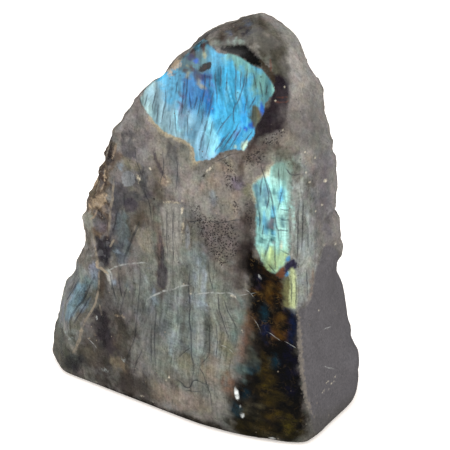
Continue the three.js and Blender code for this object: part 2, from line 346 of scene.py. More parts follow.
def seen(red, green, blue):
    """The shader's colour for one that shows as these sRGB values, 0 to 255, in the soft light."""
    linear = [(((c / 255 + 0.055) / 1.055) ** 2.4) for c in (red, green, blue)]
    return tuple(max(c - SHEEN, 0.1 * c) / LIGHT_LEVEL for c in linear) + (1.0,)


def blend(onto, colour, mask):
    """Lays a colour over the others, as far as the mask says."""
    onto += (np.array(seen(*colour)[:3]) - onto) * mask[:, None]


def wash(onto, colour, edge, strength, *shapes):
    """Lays a colour over the front, where any of the shapes lies."""
    soft, ragged, combed = edge
    depth = np.maximum.reduce(shapes) + ragged * ragging + combed * COMB_REACH * combing
    mask = rises(depth, -soft, soft) * (1 + 0.9 * combed * combing)
    blend(onto, colour, np.clip(mask * strength, 0, 1))


def strokes(*rows):
    """Several strokes at once, each with its width and its course."""
    return np.maximum.reduce([stroke(*row) for row in rows])


def spots(*rows):
    """Several ovals at once, each with what spot takes."""
    return np.maximum.reduce([spot(*row) for row in rows])


def upright(wide, low, high, *places):
    """Upright strokes from low to high, one at each place across, a little bowed to the right."""
    middle = (low + high) / 2
    return strokes(*[(wide, (u, high), (u + 0.3, middle), (u, low)) for u in places])


def coat(red, green, blue):
    """One colour for every point, to lay the others over."""
    return np.tile(np.array(seen(red, green, blue)[:3]), (len(across), 1))


body = coat(110, 108, 101)
blend(body, (130, 126, 120), rises(clouds(22), -0.2, 0.2))
blend(body, (93, 98, 97), 0.5 * rises(clouds(7), 0.0, 0.3))
blend(body, (86, 81, 79), 0.5 * rises(broad_streaks, 0.05, 0.35))

# The worn waist across the middle, the fibrous field below it, and its pale and dark streaks.
wash(body, (146, 140, 132), (4, 4, 0.15), 0.85,
     patch((-42, 125), (-25, 132), (-18, 128), (-1, 118), (9, 122), (22, 126), (30, 134), (42, 134),
           (50, 128), (53, 116), (40, 118), (30, 115), (24, 108), (24, 96), (18, 94), (4, 92),
           (-6, 100), (-18, 104), (-30, 112)))
wash(body, (128, 131, 123), (3, 5, 0.5), 0.9,
     patch((-22, 96), (-5, 100), (-4, 84), (6, 78), (12, 74), (18, 66), (19, 52), (17, 40),
           (14, 22), (9, 12), (-4, 14), (-20, 18), (-27, 22), (-33, 44), (-34, 58), (-29, 68),
           (-24, 80)))
wash(body, (108, 110, 108), (3, 5, 0.6), 0.75,
     patch((-34, 62), (-22, 66), (-17, 56), (-18, 36), (-22, 22), (-30, 26), (-34, 44)))
wash(body, (114, 127, 127), (3, 5, 0.8), 0.6,
     patch((-18, 58), (-2, 62), (6, 58), (6, 40), (-2, 30), (-12, 30), (-17, 38)),
     patch((-6, 86), (0, 88), (5, 78), (6, 66), (0, 62), (-5, 70)))
wash(body, (152, 160, 154), (1.4, 2, 0.8), 0.7, upright(4, 22, 50, -10, 2.6, 9.4),
     upright(3, 50, 74, -9, 1.4, 8), upright(2, 50, 66, -33, -29, -24))
wash(body, (88, 88, 84), (1.4, 2, 0.8), 0.6, upright(2.6, 22, 56, -17.4, -6, 5.4),
     upright(2.6, 58, 76, -14.6, -4, 5), upright(2.2, 44, 66, -35.6, -31, -26.6),
     upright(2, 10, 34, 2.4, -25, -29))
wash(body, (146, 158, 164), (0.8, 1.2, 0.8), 0.6, upright(1.8, 30, 46, -12, 8.6),
     upright(1.6, 56, 72, 3.6, -1.2))
wash(body, (124, 121, 101), (2, 3.5, 0.4), 0.75, patch((-9, 33), (-3, 33), (-2.6, 25), (-8, 24)),
     patch((9, 48), (16, 44), (17, 34), (11, 36)), patch((0, 18), (5, 20), (8, 30), (3, 30)))
wash(body, (138, 127, 114), (2, 3.5, 0.5), 0.8,
     patch((-22, 14), (-12, 16), (-3, 15), (4, 16), (7, 12), (6, 7), (-4, 6), (-22, 5.5)),
     patch((6, 37), (10, 37), (11, 24), (6, 20), (1, 22), (3, 28)))
wash(body, (84, 74, 69), (2, 4, 0.4), 0.75,
     patch((-15, 24), (-9, 22), (-3, 20), (-5, 16.5), (-14, 17)),
     patch((12, 28), (18, 28), (17, 14), (12, 18)),
     patch((-19.7, 78), (-15.6, 78), (-14.4, 57), (-17.6, 56)))
wash(body, (155, 152, 144), (0.9, 1, 0.6), 0.9,
     patch((-15.2, 98.6), (-5.6, 100), (-5.5, 86), (-7, 70), (-13, 70), (-15, 86)))
wash(body, (108, 106, 101), (0.9, 1, 0.6), 0.6, upright(1.2, 72, 98, -8.4, -12.8),
     upright(0.9, 72, 98, -10.6, -14.2))
wash(body, (124, 105, 100), (1, 2, 0.4), 0.7,
     patch((-18.7, 88), (-16, 88), (-15.6, 76), (-17.4, 74)))

# The broken-up ground left of the waist, facet by facet.
wash(body, (112, 109, 105), (4, 5, 0.4), 0.75,
     patch((-42, 128), (-30, 128), (-18, 122), (-17, 104), (-21, 92), (-21, 72), (-28, 62),
           (-40, 58), (-44, 70), (-42, 100)))
wash(body, (146, 142, 139), (3, 4, 0.4), 0.85,
     patch((-38, 127), (-19, 129), (-18, 113), (-36, 112)))
wash(body, (138, 134, 130), (3, 4, 0.3), 0.8,
     patch((-38, 134), (-26, 146), (-18, 144), (-20, 132), (-28, 126), (-38, 126)))
wash(body, (74, 74, 78), (1.6, 4, 0.5), 0.75,
     patch((-41, 106), (-36, 104), (-33, 98), (-36, 88), (-38, 76), (-41, 76), (-41, 90)),
     patch((-36, 100), (-30, 101), (-24, 99), (-21, 94), (-24, 90), (-30, 91), (-36, 94)),
     patch((-25, 112), (-22, 116), (-19.6, 110), (-20.4, 100), (-24, 98), (-24.6, 106)),
     patch((-13, 124), (-8, 122), (-5, 112), (-7, 107), (-10, 110)),
     patch((-34, 122), (-30, 126), (-28, 118), (-31, 114)))
wash(body, (108, 100, 91), (1.4, 3, 0.4), 0.6,
     patch((-27, 96), (-18, 98), (-17, 88), (-20, 84), (-28, 88)),
     patch((-24, 124), (-18, 124), (-10, 112), (-14, 104), (-19, 106), (-21, 116)))
wash(body, (92, 87, 89), (2.4, 4, 0.3), 0.6,
     patch((-29, 124), (-24, 129), (-17, 130), (-15, 127), (-19, 122), (-27, 121)))
wash(body, (100, 110, 113), (1.4, 3, 0.5), 0.75,
     patch((-38, 90), (-33, 91), (-29.5, 84), (-30, 70), (-35, 64), (-39, 66)))
wash(body, (96, 93, 90), (0.8, 1.2, 0.4), 0.6, upright(1.6, 100, 110, -31))
wash(body, (126, 119, 103), (0.8, 1.4, 0.2), 0.75,
     patch((-33.5, 114.5), (-25.5, 114), (-25.5, 110.6), (-33, 110.8)))
wash(body, (80, 72, 62), (1, 2, 0.4), 0.8,
     patch((-32, 88), (-27, 92), (-22, 91), (-25, 85), (-29, 78), (-30, 68), (-33, 66), (-31, 80)))
wash(body, (90, 81, 70), (1.4, 2, 0.6), 0.6,
     patch((-19, 106), (-9, 105), (-6, 101.6), (-12, 99.8), (-20, 99)))
wash(body, (156, 141, 116), (0.9, 1.8, 0.4), 0.7,
     patch((-16, 110), (-11.6, 109.6), (-11.4, 105.6), (-15.6, 106)))
wash(body, (132, 132, 134), (0.7, 1.6, 0.3), 0.6,
     strokes((2.4, (-43, 55), (-41.6, 49)), (2, (-39.6, 60), (-38.4, 54)),
             (2.2, (-36, 58), (-35, 50)), (2, (-40, 49), (-38, 44)), (1.8, (-32, 62), (-31.4, 54))))
wash(body, (64, 60, 64), (0.6, 1.4, 0.3), 0.7,
     strokes((1.2, (-41.4, 60), (-40.4, 53), (-38.6, 47)),
             (1.1, (-37.4, 62), (-36.8, 54), (-35, 46)), (1, (-44.6, 56), (-43.6, 50), (-41.4, 45)),
             (1, (-33.4, 60), (-33, 52), (-31, 45))))
wash(body, (141, 137, 124), (1.4, 2.4, 0.4), 0.8,
     patch((-28, 83), (-22, 85), (-20, 78), (-22, 72), (-27, 74)))
wash(body, (62, 58, 64), (2.4, 6, 0.4), 0.5,
     patch((-49.5, 82), (-43, 79), (-40.5, 70), (-42, 63), (-47, 62), (-50, 70)))
wash(body, (52, 49, 56), (1.0, 1.6, 0.3), 0.8,
     patch((-50, 76), (-46, 77), (-40.6, 78.4), (-40.6, 75), (-42, 68), (-44.2, 61.6), (-46, 62.4),
           (-48, 67)))
wash(body, (66, 66, 76), (1.2, 2.4, 0.4), 0.8,
     strokes((2.4, (-40.4, 92), (-40, 84), (-41, 76)), (1.6, (-35.4, 76), (-37, 68), (-39, 64))))

# The pitted middle and small shades of the waist.
wash(body, (110, 101, 97), (4, 5, 0.2), 0.8,
     patch((2, 93), (12, 97), (21, 97), (22, 86), (18, 74), (12, 70), (7, 80), (3, 86)))
wash(body, (158, 144, 129), (2, 3.4, 0.2), 0.75,
     patch((14.7, 108), (19.3, 108), (18.6, 97), (15, 97)),
     patch((1, 109), (6, 114), (10, 113), (8, 106)),
     patch((9, 120), (16, 122), (17, 117), (11, 115)))
wash(body, (145, 143, 118), (1.2, 2.4, 0.3), 0.7,
     patch((21, 112), (24, 112), (24.4, 104), (21.6, 104)))
wash(body, (124, 117, 130), (1.4, 2.4, 0.2), 0.8,
     patch((16.3, 115), (20.3, 115), (19.6, 110), (17, 110)))
wash(body, (94, 86, 79), (1.6, 3, 0.2), 0.7, patch((18, 124), (22, 122), (21, 114), (18, 115)),
     patch((-4, 114), (2, 116), (6, 119), (9, 121), (-1, 117)),
     patch((20, 104), (23.6, 104), (23.6, 96), (20, 96)))
wash(body, (150, 160, 168), (0.8, 1.6, 0.6), 0.6,
     strokes((1.8, (2.2, 78), (2.8, 71)), (1.6, (4.4, 72), (5, 67)), (1.6, (8.4, 107), (8.4, 100)),
             (1.2, (13, 124), (13.4, 117)), (1.4, (-33, 62), (-34, 54))))

# The lower left: dull, brown and dark towards the foot.
wash(body, (90, 88, 85), (4, 5, 0.4), 0.8,
     patch((-49, 60), (-38, 60), (-30, 50), (-27, 34), (-31, 18), (-26, 8), (-50, 4), (-64, 10),
           (-58, 26), (-48, 44)))
wash(body, (118, 117, 113), (2, 4, 0.6), 0.75,
     patch((-43, 60), (-38, 60), (-35, 52), (-37, 45), (-42, 46)),
     patch((-34, 40), (-27, 44), (-24, 30), (-26, 14), (-33, 16), (-36, 26)))
wash(body, (72, 67, 61), (3, 6, 0.3), 0.85,
     patch((-60, 19), (-52, 24), (-44, 28), (-42, 40), (-33, 42), (-30, 32), (-35, 20), (-39, 14),
           (-50, 9), (-60, 11)))
wash(body, (98, 92, 82), (1.4, 3, 0.4), 0.6, patch((-47, 22), (-41, 24), (-40, 17), (-46, 15)),
     patch((-40, 34), (-34, 36), (-35, 28), (-39, 27)),
     patch((-56, 18), (-50, 19), (-51, 13), (-56, 13)))
wash(body, (66, 61, 56), (3, 5, 0.3), 0.8,
     patch((-31, 15), (-24, 14), (-20, 7), (-25, 3), (-44, 2), (-56, 5), (-42, 9)))
wash(body, (54, 50, 56), (2.8, 5, 0.3), 0.75,
     patch((-51, 41), (-46, 42), (-43, 37), (-42, 28), (-40, 18), (-43, 13), (-47, 20), (-49, 30),
           (-53, 36)))
wash(body, (124, 114, 94), (1.2, 2.6, 0.2), 0.6,
     patch((-44.3, 19), (-37.3, 18.7), (-36, 17), (-39, 13.3), (-41.5, 11.6), (-42.3, 14)))
wash(body, (178, 180, 174), (0.8, 2, 0.5), 0.65,
     patch((-43.6, 61), (-41, 58.6), (-41, 55.4), (-43, 56)), spot(-39, 63, 1.2, 0.9))
wash(body, (130, 144, 156), (0.8, 1.6, 0.4), 0.75,
     spots((-39.2, 56.4, 1.8, 3.2), (-19.3, 52.6, 2.2, 3.8), (-37, 70.5, 1.6, 0.8),
           (-35.5, 110.5, 1.8, 1.4), (-22, 67.6, 2.4, 2.2)))

# ---- The dark strip --------------------------------------------------------------------------
# By the right-hand ridge the feldspar is clear enough to look into, and the polished face turns
# away to mirror something dark. It shows as black glass with brown, navy and teal depths, and runs
# down to the foot. The black is partly the stone's own colour and partly painted dark reflection.

# The soft dark band down the strip's left side, where the polished face turns away: painted shade.
wash(body, (72, 66, 62), (2.8, 3, 0.1), 0.85,
     patch((21, 106), (25.4, 106), (25.6, 86), (22, 70), (17, 66), (17, 74), (19, 86)))
wash(body, (38, 33, 34), (2.6, 2, 0.1), 0.8,
     patch((22.4, 93), (25.8, 91), (25.4, 83), (23, 76), (21, 78), (20.4, 85)))
# The strip itself, near black: partly the stone's own colour and partly painted dark reflection.
wash(body, (40, 34, 20), (2.4, 2.4, 0.15), 0.97,
     patch((25, 84), (30, 79), (34, 75), (38, 75), (40, 62), (43.5, 61), (44.2, 40), (45.6, 28),
           (48.2, 16), (49.5, 11), (46, 2), (30, 1), (17, 2), (15, 9), (16, 24), (20, 33), (21, 40),
           (23, 58), (21.6, 68), (22.4, 78)))
wash(body, (10, 9, 16), (3.6, 3, 0.2), 0.75,
     patch((24.4, 82), (27, 80.6), (29, 79.6), (31.4, 76), (29, 69), (27, 63), (25, 64), (23.4, 70),
           (23, 77)),
     patch((27, 62), (33, 61), (39, 60), (43.4, 61), (44, 44), (45, 32), (46.8, 20), (44, 14),
           (36, 13), (29, 16), (23, 17), (19, 20), (23, 30), (25, 36), (28, 42), (26, 50)))
wash(body, (84, 60, 28), (2, 6, 0.3), 0.8,
     patch((27, 73), (33, 75), (38, 74), (39.5, 62), (34, 60.5), (28, 62), (24.4, 60), (24, 66)),
     patch((33, 60), (38.6, 61), (39.5, 52), (36, 46), (32, 50)))
wash(body, (96, 78, 44), (0.9, 3, 0.4), 0.5,
     strokes((1.2, (26, 66.6), (30, 67), (35, 70), (38, 72)), (1, (29, 62.6), (33, 65), (38, 65.6)),
             (0.9, (33, 75), (34, 70), (38, 68)), (0.8, (31, 57), (34.6, 59), (38.6, 57)),
             (0.8, (33, 52), (37, 53.6))))
wash(body, (66, 56, 16), (2.4, 6, 0.5), 0.85,
     patch((28, 40), (34, 36), (37, 24), (42, 14), (38, 8), (30, 10), (25, 22), (25, 34)))
wash(body, (12, 20, 46), (2.0, 2, 0.2), 0.85,
     patch((36.6, 44), (43.6, 43), (45, 32), (46.6, 22), (40, 22), (37, 30)))
wash(body, (16, 42, 74), (1.8, 3, 0.2), 0.85,
     patch((27.5, 55), (32, 54), (32.5, 48), (30, 46.5), (27.5, 49)),
     patch((40.6, 61), (43, 60), (43.8, 48), (42, 45), (41, 50)),
     patch((26.4, 74), (28.6, 73), (28, 68), (26, 69)),
     patch((37, 66), (40.5, 66), (41, 60), (38.6, 59)))
wash(body, (18, 62, 76), (1.8, 3, 0.2), 0.85, patch((27.5, 63), (31, 63), (32.5, 56), (28, 54.5)),
     patch((22.5, 35), (28, 35.6), (25.4, 30), (22, 31)),
     patch((20.5, 25), (24.5, 24.5), (23.5, 19), (20, 20)),
     patch((17.6, 14), (20.8, 13), (20.4, 9.5), (17, 10)), stroke(1.4, (34.6, 40), (35, 34)))
wash(body, (50, 45, 28), (3, 4, 0.2), 0.8,
     patch((17, 9), (24, 14), (34, 10), (44, 12), (48.5, 9), (45, 1), (28, 0), (17, 2)))
wash(body, (78, 70, 28), (3, 4, 0.2), 0.65, patch((36, 13), (43, 14), (46, 8), (40, 4.5)))
wash(body, (88, 84, 68), (2, 4, 0.2), 0.55, patch((22, 19), (28, 20), (29, 13), (23, 12)),
     patch((30, 6), (38, 5.6), (37, 2.6), (30, 3)))
wash(body, (118, 88, 66), (2.4, 3, 0.15), 0.75,
     patch((21.4, 60.5), (25.6, 60.5), (26, 50), (23.4, 44), (21.4, 48)))
wash(body, (142, 110, 92), (2, 3, 0.15), 0.7, patch((18.8, 47), (22, 47), (21.6, 38), (19, 35)),
     patch((13, 30), (16.4, 30), (16, 21), (13.4, 20)))
wash(body, (104, 124, 120), (2.2, 3, 0.15), 0.7,
     patch((18.4, 63.5), (21.6, 63), (21.6, 56), (18.6, 52)),
     patch((15.4, 50), (18.4, 49), (17.8, 43), (15.6, 43)),
     patch((18, 33), (22, 33), (22.6, 27), (19, 26)))
wash(body, (84, 88, 82), (1.4, 3, 0.4), 0.7,
     patch((21.5, 43), (26.5, 42), (28, 37), (24.6, 34.5), (21.2, 36)),
     patch((22, 49), (25, 51), (27.4, 47), (24, 44)))

STRIP = patch(
    (22, 84), (27, 82), (33, 77), (38, 75), (43, 61), (44.2, 40), (48, 14), (46, 1), (19, 1),
    (18, 20), (23, 40), (24, 60))
body *= (1 + rises(STRIP, -3, 2) * (1.4 * clouds(2.4, 3, 0.7) + 0.9 * clouds(6, 2) - 0.42))[:, None]

# ---- The cap and the right shoulder ----------------------------------------------------------
# The crest is dull and stained, with painted highlights on its upper left and along its top edge,
# and a dark zone down the right of the blue flash. Right of the ridge the stone is only ground, so a
# pale tongue and the matte faces lie there.

wash(body, (86, 82, 76), (2, 4, 0.6), 0.88,
     patch((5, 169), (11, 166), (24, 168), (33, 161), (41, 155), (40, 168), (33, 175), (26, 181),
           (14, 178)))
# Lighter patches on the cap's upper left: painted highlight.
wash(body, (130, 125, 116), (1.5, 3, 0.9), 0.65,
     patch((8, 173), (14, 177), (22, 180), (26, 178), (18, 174.6), (12, 171)),
     patch((30, 176), (34, 172), (32, 168), (28, 172)))
wash(body, (52, 49, 40), (2.4, 4, 0.5), 0.85,
     patch((22, 170), (30, 168), (33, 162), (33, 157), (39, 153), (42, 157), (38, 167), (30, 172)))
wash(body, (92, 93, 80), (1.2, 3, 0.4), 0.7,
     patch((31.5, 160), (36, 162), (38.5, 157), (34, 154.5)))
wash(body, (140, 152, 144), (0.9, 2, 0.6), 0.8,
     patch((13, 167.6), (16, 170.4), (20, 170.8), (22, 168.8), (18, 168.6)), spot(9, 168.4, 3, 1.6))
wash(body, (66, 56, 50), (1.2, 3, 0.5), 0.75,
     spots((18, 173.4, 6, 3), (31, 162.5, 2, 4), (4.6, 169, 4, 2.6, 0.8), (11, 170, 4, 2.6),
           (26, 175, 4, 2.6)))
wash(body, (96, 108, 128), (0.9, 1.6, 0.3), 0.6,
     spots((23.4, 175.3, 2, 1.6), (15, 171.6, 1.2, 0.8)))
wash(body, (44, 46, 62), (0.9, 2, 0.3), 0.85,
     spots((24, 172.5, 4.6, 2), (8, 165.6, 3, 2), (20, 172, 2, 1.6)))
# Pale along the top edge: painted sheen.
wash(body, (130, 126, 117), (1.2, 2, 0.4), 0.45,
     patch((-6, 162), (6, 172), (16, 178), (26, 182), (30, 184), (10, 182), (-10, 166)))
wash(body, (86, 83, 73), (2, 4, 0.4), 0.6,
     patch((23, 176), (31, 175), (37, 169), (41, 160), (40, 155), (33, 157.5), (28.6, 162),
           (25, 167)))
wash(body, (84, 80, 72), (1, 1.6, 0.1), 0.75,
     patch((33, 172), (38, 170), (41.4, 166), (42.4, 158), (40.4, 151), (38.6, 145), (36, 146),
           (36, 156), (34, 164)))
wash(body, (46, 40, 46), (1.1, 1.8, 0.15), 0.96,
     patch((30.5, 159), (33, 157), (40.6, 154), (39.4, 149.5), (38.4, 145), (38, 140), (37.6, 136),
           (34, 133.5), (28, 131.5), (22.5, 124.5), (21.6, 127), (24, 131), (25.6, 134), (26, 137),
           (29.3, 141.5), (30.6, 145.5), (33.2, 149.5), (33.6, 152.5), (31.6, 156)))
wash(body, (68, 64, 67), (2.5, 3, 0.2), 0.6,
     patch((36, 152), (41, 152), (40, 136), (36, 135), (34, 142)))
wash(body, (82, 74, 68), (2.6, 4, 0.2), 0.75,
     patch((20, 126), (28, 132), (36, 135), (40, 134), (32, 128), (24, 121), (17, 119)))

# The pale tongue right of the green flash, down to the arch over the ground side.
wash(body, (156, 163, 158), (3, 3, 0.4), 0.92,
     patch((38, 125), (44, 125), (48, 120), (49, 108), (50, 96), (52, 84), (51.2, 73), (50, 64.5),
           (47.5, 61.5), (40, 61.5), (39, 76), (39, 100)))
wash(body, (116, 117, 113), (1.4, 2, 0.6), 0.55,
     strokes((2.6, (43.2, 106), (43.8, 92), (44.2, 78), (44.6, 62)),
             (2, (46.8, 118), (46.2, 104), (45.6, 86)), (2, (49, 84), (49, 70))))
wash(body, (186, 194, 184), (0.9, 1.4, 0.6), 0.6,
     strokes((1.6, (41.8, 104), (42, 92), (42.2, 80)), (1.4, (45.4, 84), (45.8, 72), (45.6, 64)),
             (1.4, (48, 100), (47.6, 90))))
wash(body, (144, 124, 108), (0.9, 2, 0.3), 0.6,
     strokes((2.2, (50.6, 77), (50.6, 70), (49, 64)), (2, (47, 124), (49.6, 121), (50, 117))))
wash(body, (136, 152, 140), (1.6, 2.6, 0.3), 0.8,
     patch((32, 124), (37.5, 127), (42, 126), (44.6, 121), (41, 119.4), (36, 121.6)))
wash(body, (104, 96, 84), (1.4, 3, 0.4), 0.6,
     patch((33, 126), (38, 129), (44, 128), (42, 125), (36, 124)),
     patch((40, 122), (44, 121), (45, 114), (42, 114)))
wash(body, (118, 116, 74), (1, 2, 0.5), 0.85, patch((37.4, 75), (41, 77), (41.4, 62), (37.8, 62)))

# The matte faces: the ground side, the shoulder above it and the worn place between.
wash(body, (128, 126, 128), (5, 4, 0.3), 0.85,
     patch((48.5, 124), (57.5, 125), (66, 126), (66, 84), (60, 84), (55.5, 85), (52, 92),
           (50, 108)))
wash(body, (104, 99, 103), (2.5, 4, 0.3), 0.65,
     patch((53, 122), (57, 122), (58, 106), (60, 96), (60, 86), (55.6, 86), (54, 100)))
wash(body, (145, 140, 134), (1.8, 1.4, 0.1), 0.92,
     patch((26, 181), (33, 175.4), (38.4, 168), (41.4, 154), (39.8, 145), (39, 137), (44, 131),
           (52, 126), (58, 127), (66, 130), (60, 168), (34, 186)))
wash(body, (118, 113, 109), (5, 4, 0.2), 0.75,
     patch((39, 143), (46, 147), (58, 147), (60, 128), (46, 126), (39, 134)))
# Pale along the crest and down the shoulder's right edge: painted highlight.
wash(body, (172, 167, 160), (2.5, 3, 0.2), 0.55,
     strokes((6, (38.6, 171), (42.4, 163), (44, 154), (42.6, 146)),
             (3, (54, 150), (57, 140), (59, 130))))
# The pale rough back showing along the right-hand edge, made paler still there by painted sheen.
wash(body, (150, 144, 138), (1.6, 2, 0.2), 0.7,
     patch((57.4, 128), (58.6, 119), (58.4, 110.5), (59, 104), (60.8, 98), (61.4, 92), (60, 86),
           (61.6, 82), (64.6, 77), (67, 70), (69, 62), (76, 60), (76, 128)))

# ---- The left edge and the blade -------------------------------------------------------------
# The left edge is chipped and weathered tan. A crevice below it parts off a long blade of stone,
# which is polished over and has a faint blue sheen of its own.

wash(body, (108, 94, 79), (1.6, 4, 0.4), 0.88,
     patch((-36, 121), (-40.4, 108), (-41.4, 98), (-40.6, 84), (-42, 76), (-60, 76), (-60, 92),
           (-48, 122)))
wash(body, (96, 87, 80), (1.6, 3, 0.3), 0.8, patch((-45, 122), (-38, 122), (-38, 110), (-43, 110)))
wash(body, (146, 148, 136), (1, 2.6, 0.3), 0.85,
     patch((-58, 85), (-51.3, 84.5), (-47, 82.5), (-50.2, 80), (-51.6, 76.5), (-54, 76), (-60, 79)))
wash(body, (132, 136, 133), (1.2, 2, 0.5), 0.95,
     patch((-49, 64), (-48.2, 55), (-49, 51), (-50, 46), (-52, 41), (-54, 37.5), (-56, 34),
           (-58.3, 30.2), (-60, 26), (-61.4, 20.8), (-63.4, 17), (-76, 17), (-76, 34), (-62, 62),
           (-54, 70)))
wash(body, (112, 107, 100), (2, 3, 0.4), 0.9,
     patch((-51, 76), (-49.4, 68), (-48, 60), (-54, 58), (-62, 58), (-60, 74)))
wash(body, (126, 132, 146), (1.4, 2.4, 0.5), 0.75,
     patch((-53, 61), (-49, 62), (-48.3, 56), (-52, 54)),
     patch((-71.5, 37), (-68.5, 37), (-68, 28), (-72, 28)),
     patch((-62, 50), (-59, 51), (-61, 42), (-64, 40)))
wash(body, (104, 126, 128), (1.8, 2.4, 0.5), 0.65,
     patch((-57, 57), (-50, 56), (-49.6, 51), (-56, 50)))
wash(body, (108, 134, 146), (1.4, 1.2, 0.5), 0.8,
     patch((-54, 51.5), (-54.6, 46), (-58, 40), (-61.5, 34.5), (-66, 29), (-68.5, 30), (-66, 38),
           (-62, 46), (-59, 51.5)))
wash(body, (134, 156, 164), (0.9, 1.6, 0.6), 0.55,
     strokes((1.6, (-56, 50), (-60, 42), (-65, 33)), (1.2, (-50.6, 58), (-53.4, 52))))
wash(body, (104, 103, 93), (0.9, 1.8, 0.6), 0.85,
     patch((-52.6, 51), (-50, 47), (-52.4, 41), (-56, 34), (-60, 26), (-66, 27), (-60.5, 35.4),
           (-55.4, 43)))
wash(body, (110, 126, 138), (0.8, 1.2, 0.3), 0.7,
     stroke(1.6, (-52.8, 45), (-55, 41.6), (-58.6, 37)))
# A faint pale wash over the middle of the front: painted sheen.
wash(body, (150, 149, 149), (3, 3, 0.3), 0.3,
     patch((-14, 118), (0, 116), (8, 108), (6, 94), (-6, 92), (-14, 100)))
# Pale along the blade's left edge: painted sheen.
wash(body, (140, 138, 134), (2.4, 2, 0.3), 0.5,
     patch((-60, 60), (-64, 52), (-68, 44), (-71.4, 34), (-73, 22), (-80, 20), (-78, 50)))
wash(body, (84, 84, 76), (3, 4, 0.3), 0.85,
     patch((-76, 25), (-66, 26), (-61, 24), (-63, 16), (-60, 10), (-64, 1), (-80, 1)))
wash(body, (76, 68, 62), (0.8, 1.6, 0.3), 0.85,
     patch((-47, 60), (-44, 58), (-44.6, 50), (-47.4, 45), (-48, 52)))
wash(body, (52, 52, 58), (3, 4, 0.2), 0.7,
     patch((-66, 13), (-60, 14), (-56, 8), (-60, 4), (-66, 5)))
# A dark band along the foot, where the polished face curves under: painted shade.
wash(body, (42, 38, 33), (1.5, 1.8, 0.1), 0.92,
     patch((-56, 0), (-40, 1.6), (-30, 2.6), (-20, 2.6), (-10, 3.6), (0, 4.6), (8, 4.6), (18, 0),
           (18, -6), (-56, -6)))

# The grey facet above the crevice, then two faint shades that draw the grey field together.
wash(body, (98, 94, 98), (1.2, 2, 0.3), 0.75,
     patch((-47, 87), (-43, 87), (-42.6, 78.6), (-46, 77.6), (-49.6, 79), (-49, 83)))
wash(body, (134, 134, 126), (3, 3, 0.4), 0.35,
     patch((-20, 24), (-4, 26), (10, 22), (14, 12), (8, 8), (-14, 8)))
wash(body, (104, 108, 108), (4, 3, 0.5), 0.3,
     patch((-26, 62), (-18, 62), (-14, 46), (-16, 30), (-26, 28), (-32, 44)))

# Colour drifts from brown to blue and back, more finely than any patch.
for channel, swing in enumerate((0.20, 0.12, 0.22)):
    drift = 0.6 * clouds(6, 3, 0.6, points + 50 * channel)
    drift += 0.6 * clouds(2.2, 2, 0.6, points + 90 * channel)
    body[:, channel] *= 1 + swing * drift
body *= (1 + 0.42 * clouds(2.0, 3, 0.7) + 0.30 * clouds(5, 2))[:, None]

# ---- The blue flash --------------------------------------------------------------------------
# Light splits between the thin layers of the feldspar, just under the polish, and comes back
# blue. The field ends along one crisp outline, and all its own colours lie within that.

BLUE = patch(
    (-25, 143), (-19.5, 149.5), (-15, 153.5), (-9, 157), (-5, 161), (0, 166), (3, 168.5), (5, 169),
    (8, 165.5), (11, 164), (14.2, 164.2), (17.8, 163.7), (21, 162.4), (25.2, 160), (27.8, 159.7),
    (29.2, 157.6), (31.8, 154.8), (33, 152.2), (32.7, 150), (30, 146.5), (28.9, 143.9), (28.5, 141),
    (25, 136), (25.2, 133.6), (24.3, 131), (22.4, 130), (22.5, 128.3), (21.4, 126.3), (20.1, 125.7),
    (16, 126.3), (13.8, 125.2), (10.5, 124.2), (9, 122.2), (5.8, 120.6), (2, 119.5), (-0.3, 118.5),
    (-0.3, 123.7), (-1.6, 126.3), (-4.6, 127.3), (-8, 128), (-10.4, 128.8), (-14.6, 129.4),
    (-17, 131.9), (-21.6, 135.9), (-25, 140.7))
flash = coat(90, 178, 220)
wash(flash, (158, 190, 190), (3, 5, 0.6), 0.95,
     patch((-29, 144), (-20, 152), (-14, 149), (-9, 140), (-4, 132), (-1, 118), (-6, 122),
           (-18, 124), (-30, 136)))
wash(flash, (132, 168, 170), (1, 2, 1), 0.5, upright(1.6, 132, 148, -20, -16.4, -11.6),
     upright(1.4, 126, 140, -6.4, -2.4))
wash(flash, (140, 182, 204), (3, 4, 0.6), 0.6,
     patch((-22, 148), (-12, 149), (-8, 141), (0, 140), (6, 139), (10, 128), (6, 119), (0, 116),
           (-10, 126), (-22, 138)))
wash(flash, (150, 206, 232), (2, 3, 0.8), 0.6,
     patch((0, 134), (8, 134), (10, 126), (6, 119), (0, 116), (-1, 126)))
wash(flash, (156, 182, 210), (2.4, 3, 0.8), 0.35, patch((3, 126), (8, 126), (7, 121), (2, 120)))
wash(flash, (56, 124, 188), (4.5, 3, 1.0), 0.8,
     patch((-8, 154), (0, 158), (8, 156), (9.5, 146), (5, 141), (0, 142), (-5, 144)))
wash(flash, (96, 136, 144), (2.5, 5, 0.6), 0.9,
     patch((-12, 156), (-4, 164), (4, 171), (9, 166), (9, 158), (0, 157), (-6, 154)))
wash(flash, (128, 184, 178), (3, 5, 0.7), 0.95,
     patch((13, 166), (22, 164), (34, 156), (34, 149), (29, 144), (25, 150), (21, 158), (16, 158)))
wash(flash, (108, 152, 146), (1.4, 3, 1), 0.5, upright(1.6, 148, 162, 17, 21, 25, 28.6))
wash(flash, (84, 200, 252), (3, 5, 0.6), 0.95,
     patch((10, 158), (16, 158), (20, 150), (24, 140), (20, 131), (12, 126), (9, 134), (10, 148)))
wash(flash, (146, 224, 244), (1.4, 3, 1), 0.65,
     patch((7, 136), (11, 134), (10, 127), (6, 124), (5, 130)),
     strokes((2, (14.6, 152), (13, 142)), (2, (18, 150), (19, 142)), (2, (-9, 140), (-6, 130))))
wash(flash, (50, 142, 210), (1.2, 3, 1), 0.6,
     strokes((2, (12, 150), (11.6, 140)), (2, (20, 148), (21, 138)), (2, (16, 136), (12, 128)),
             (2, (22, 136), (18, 129))))
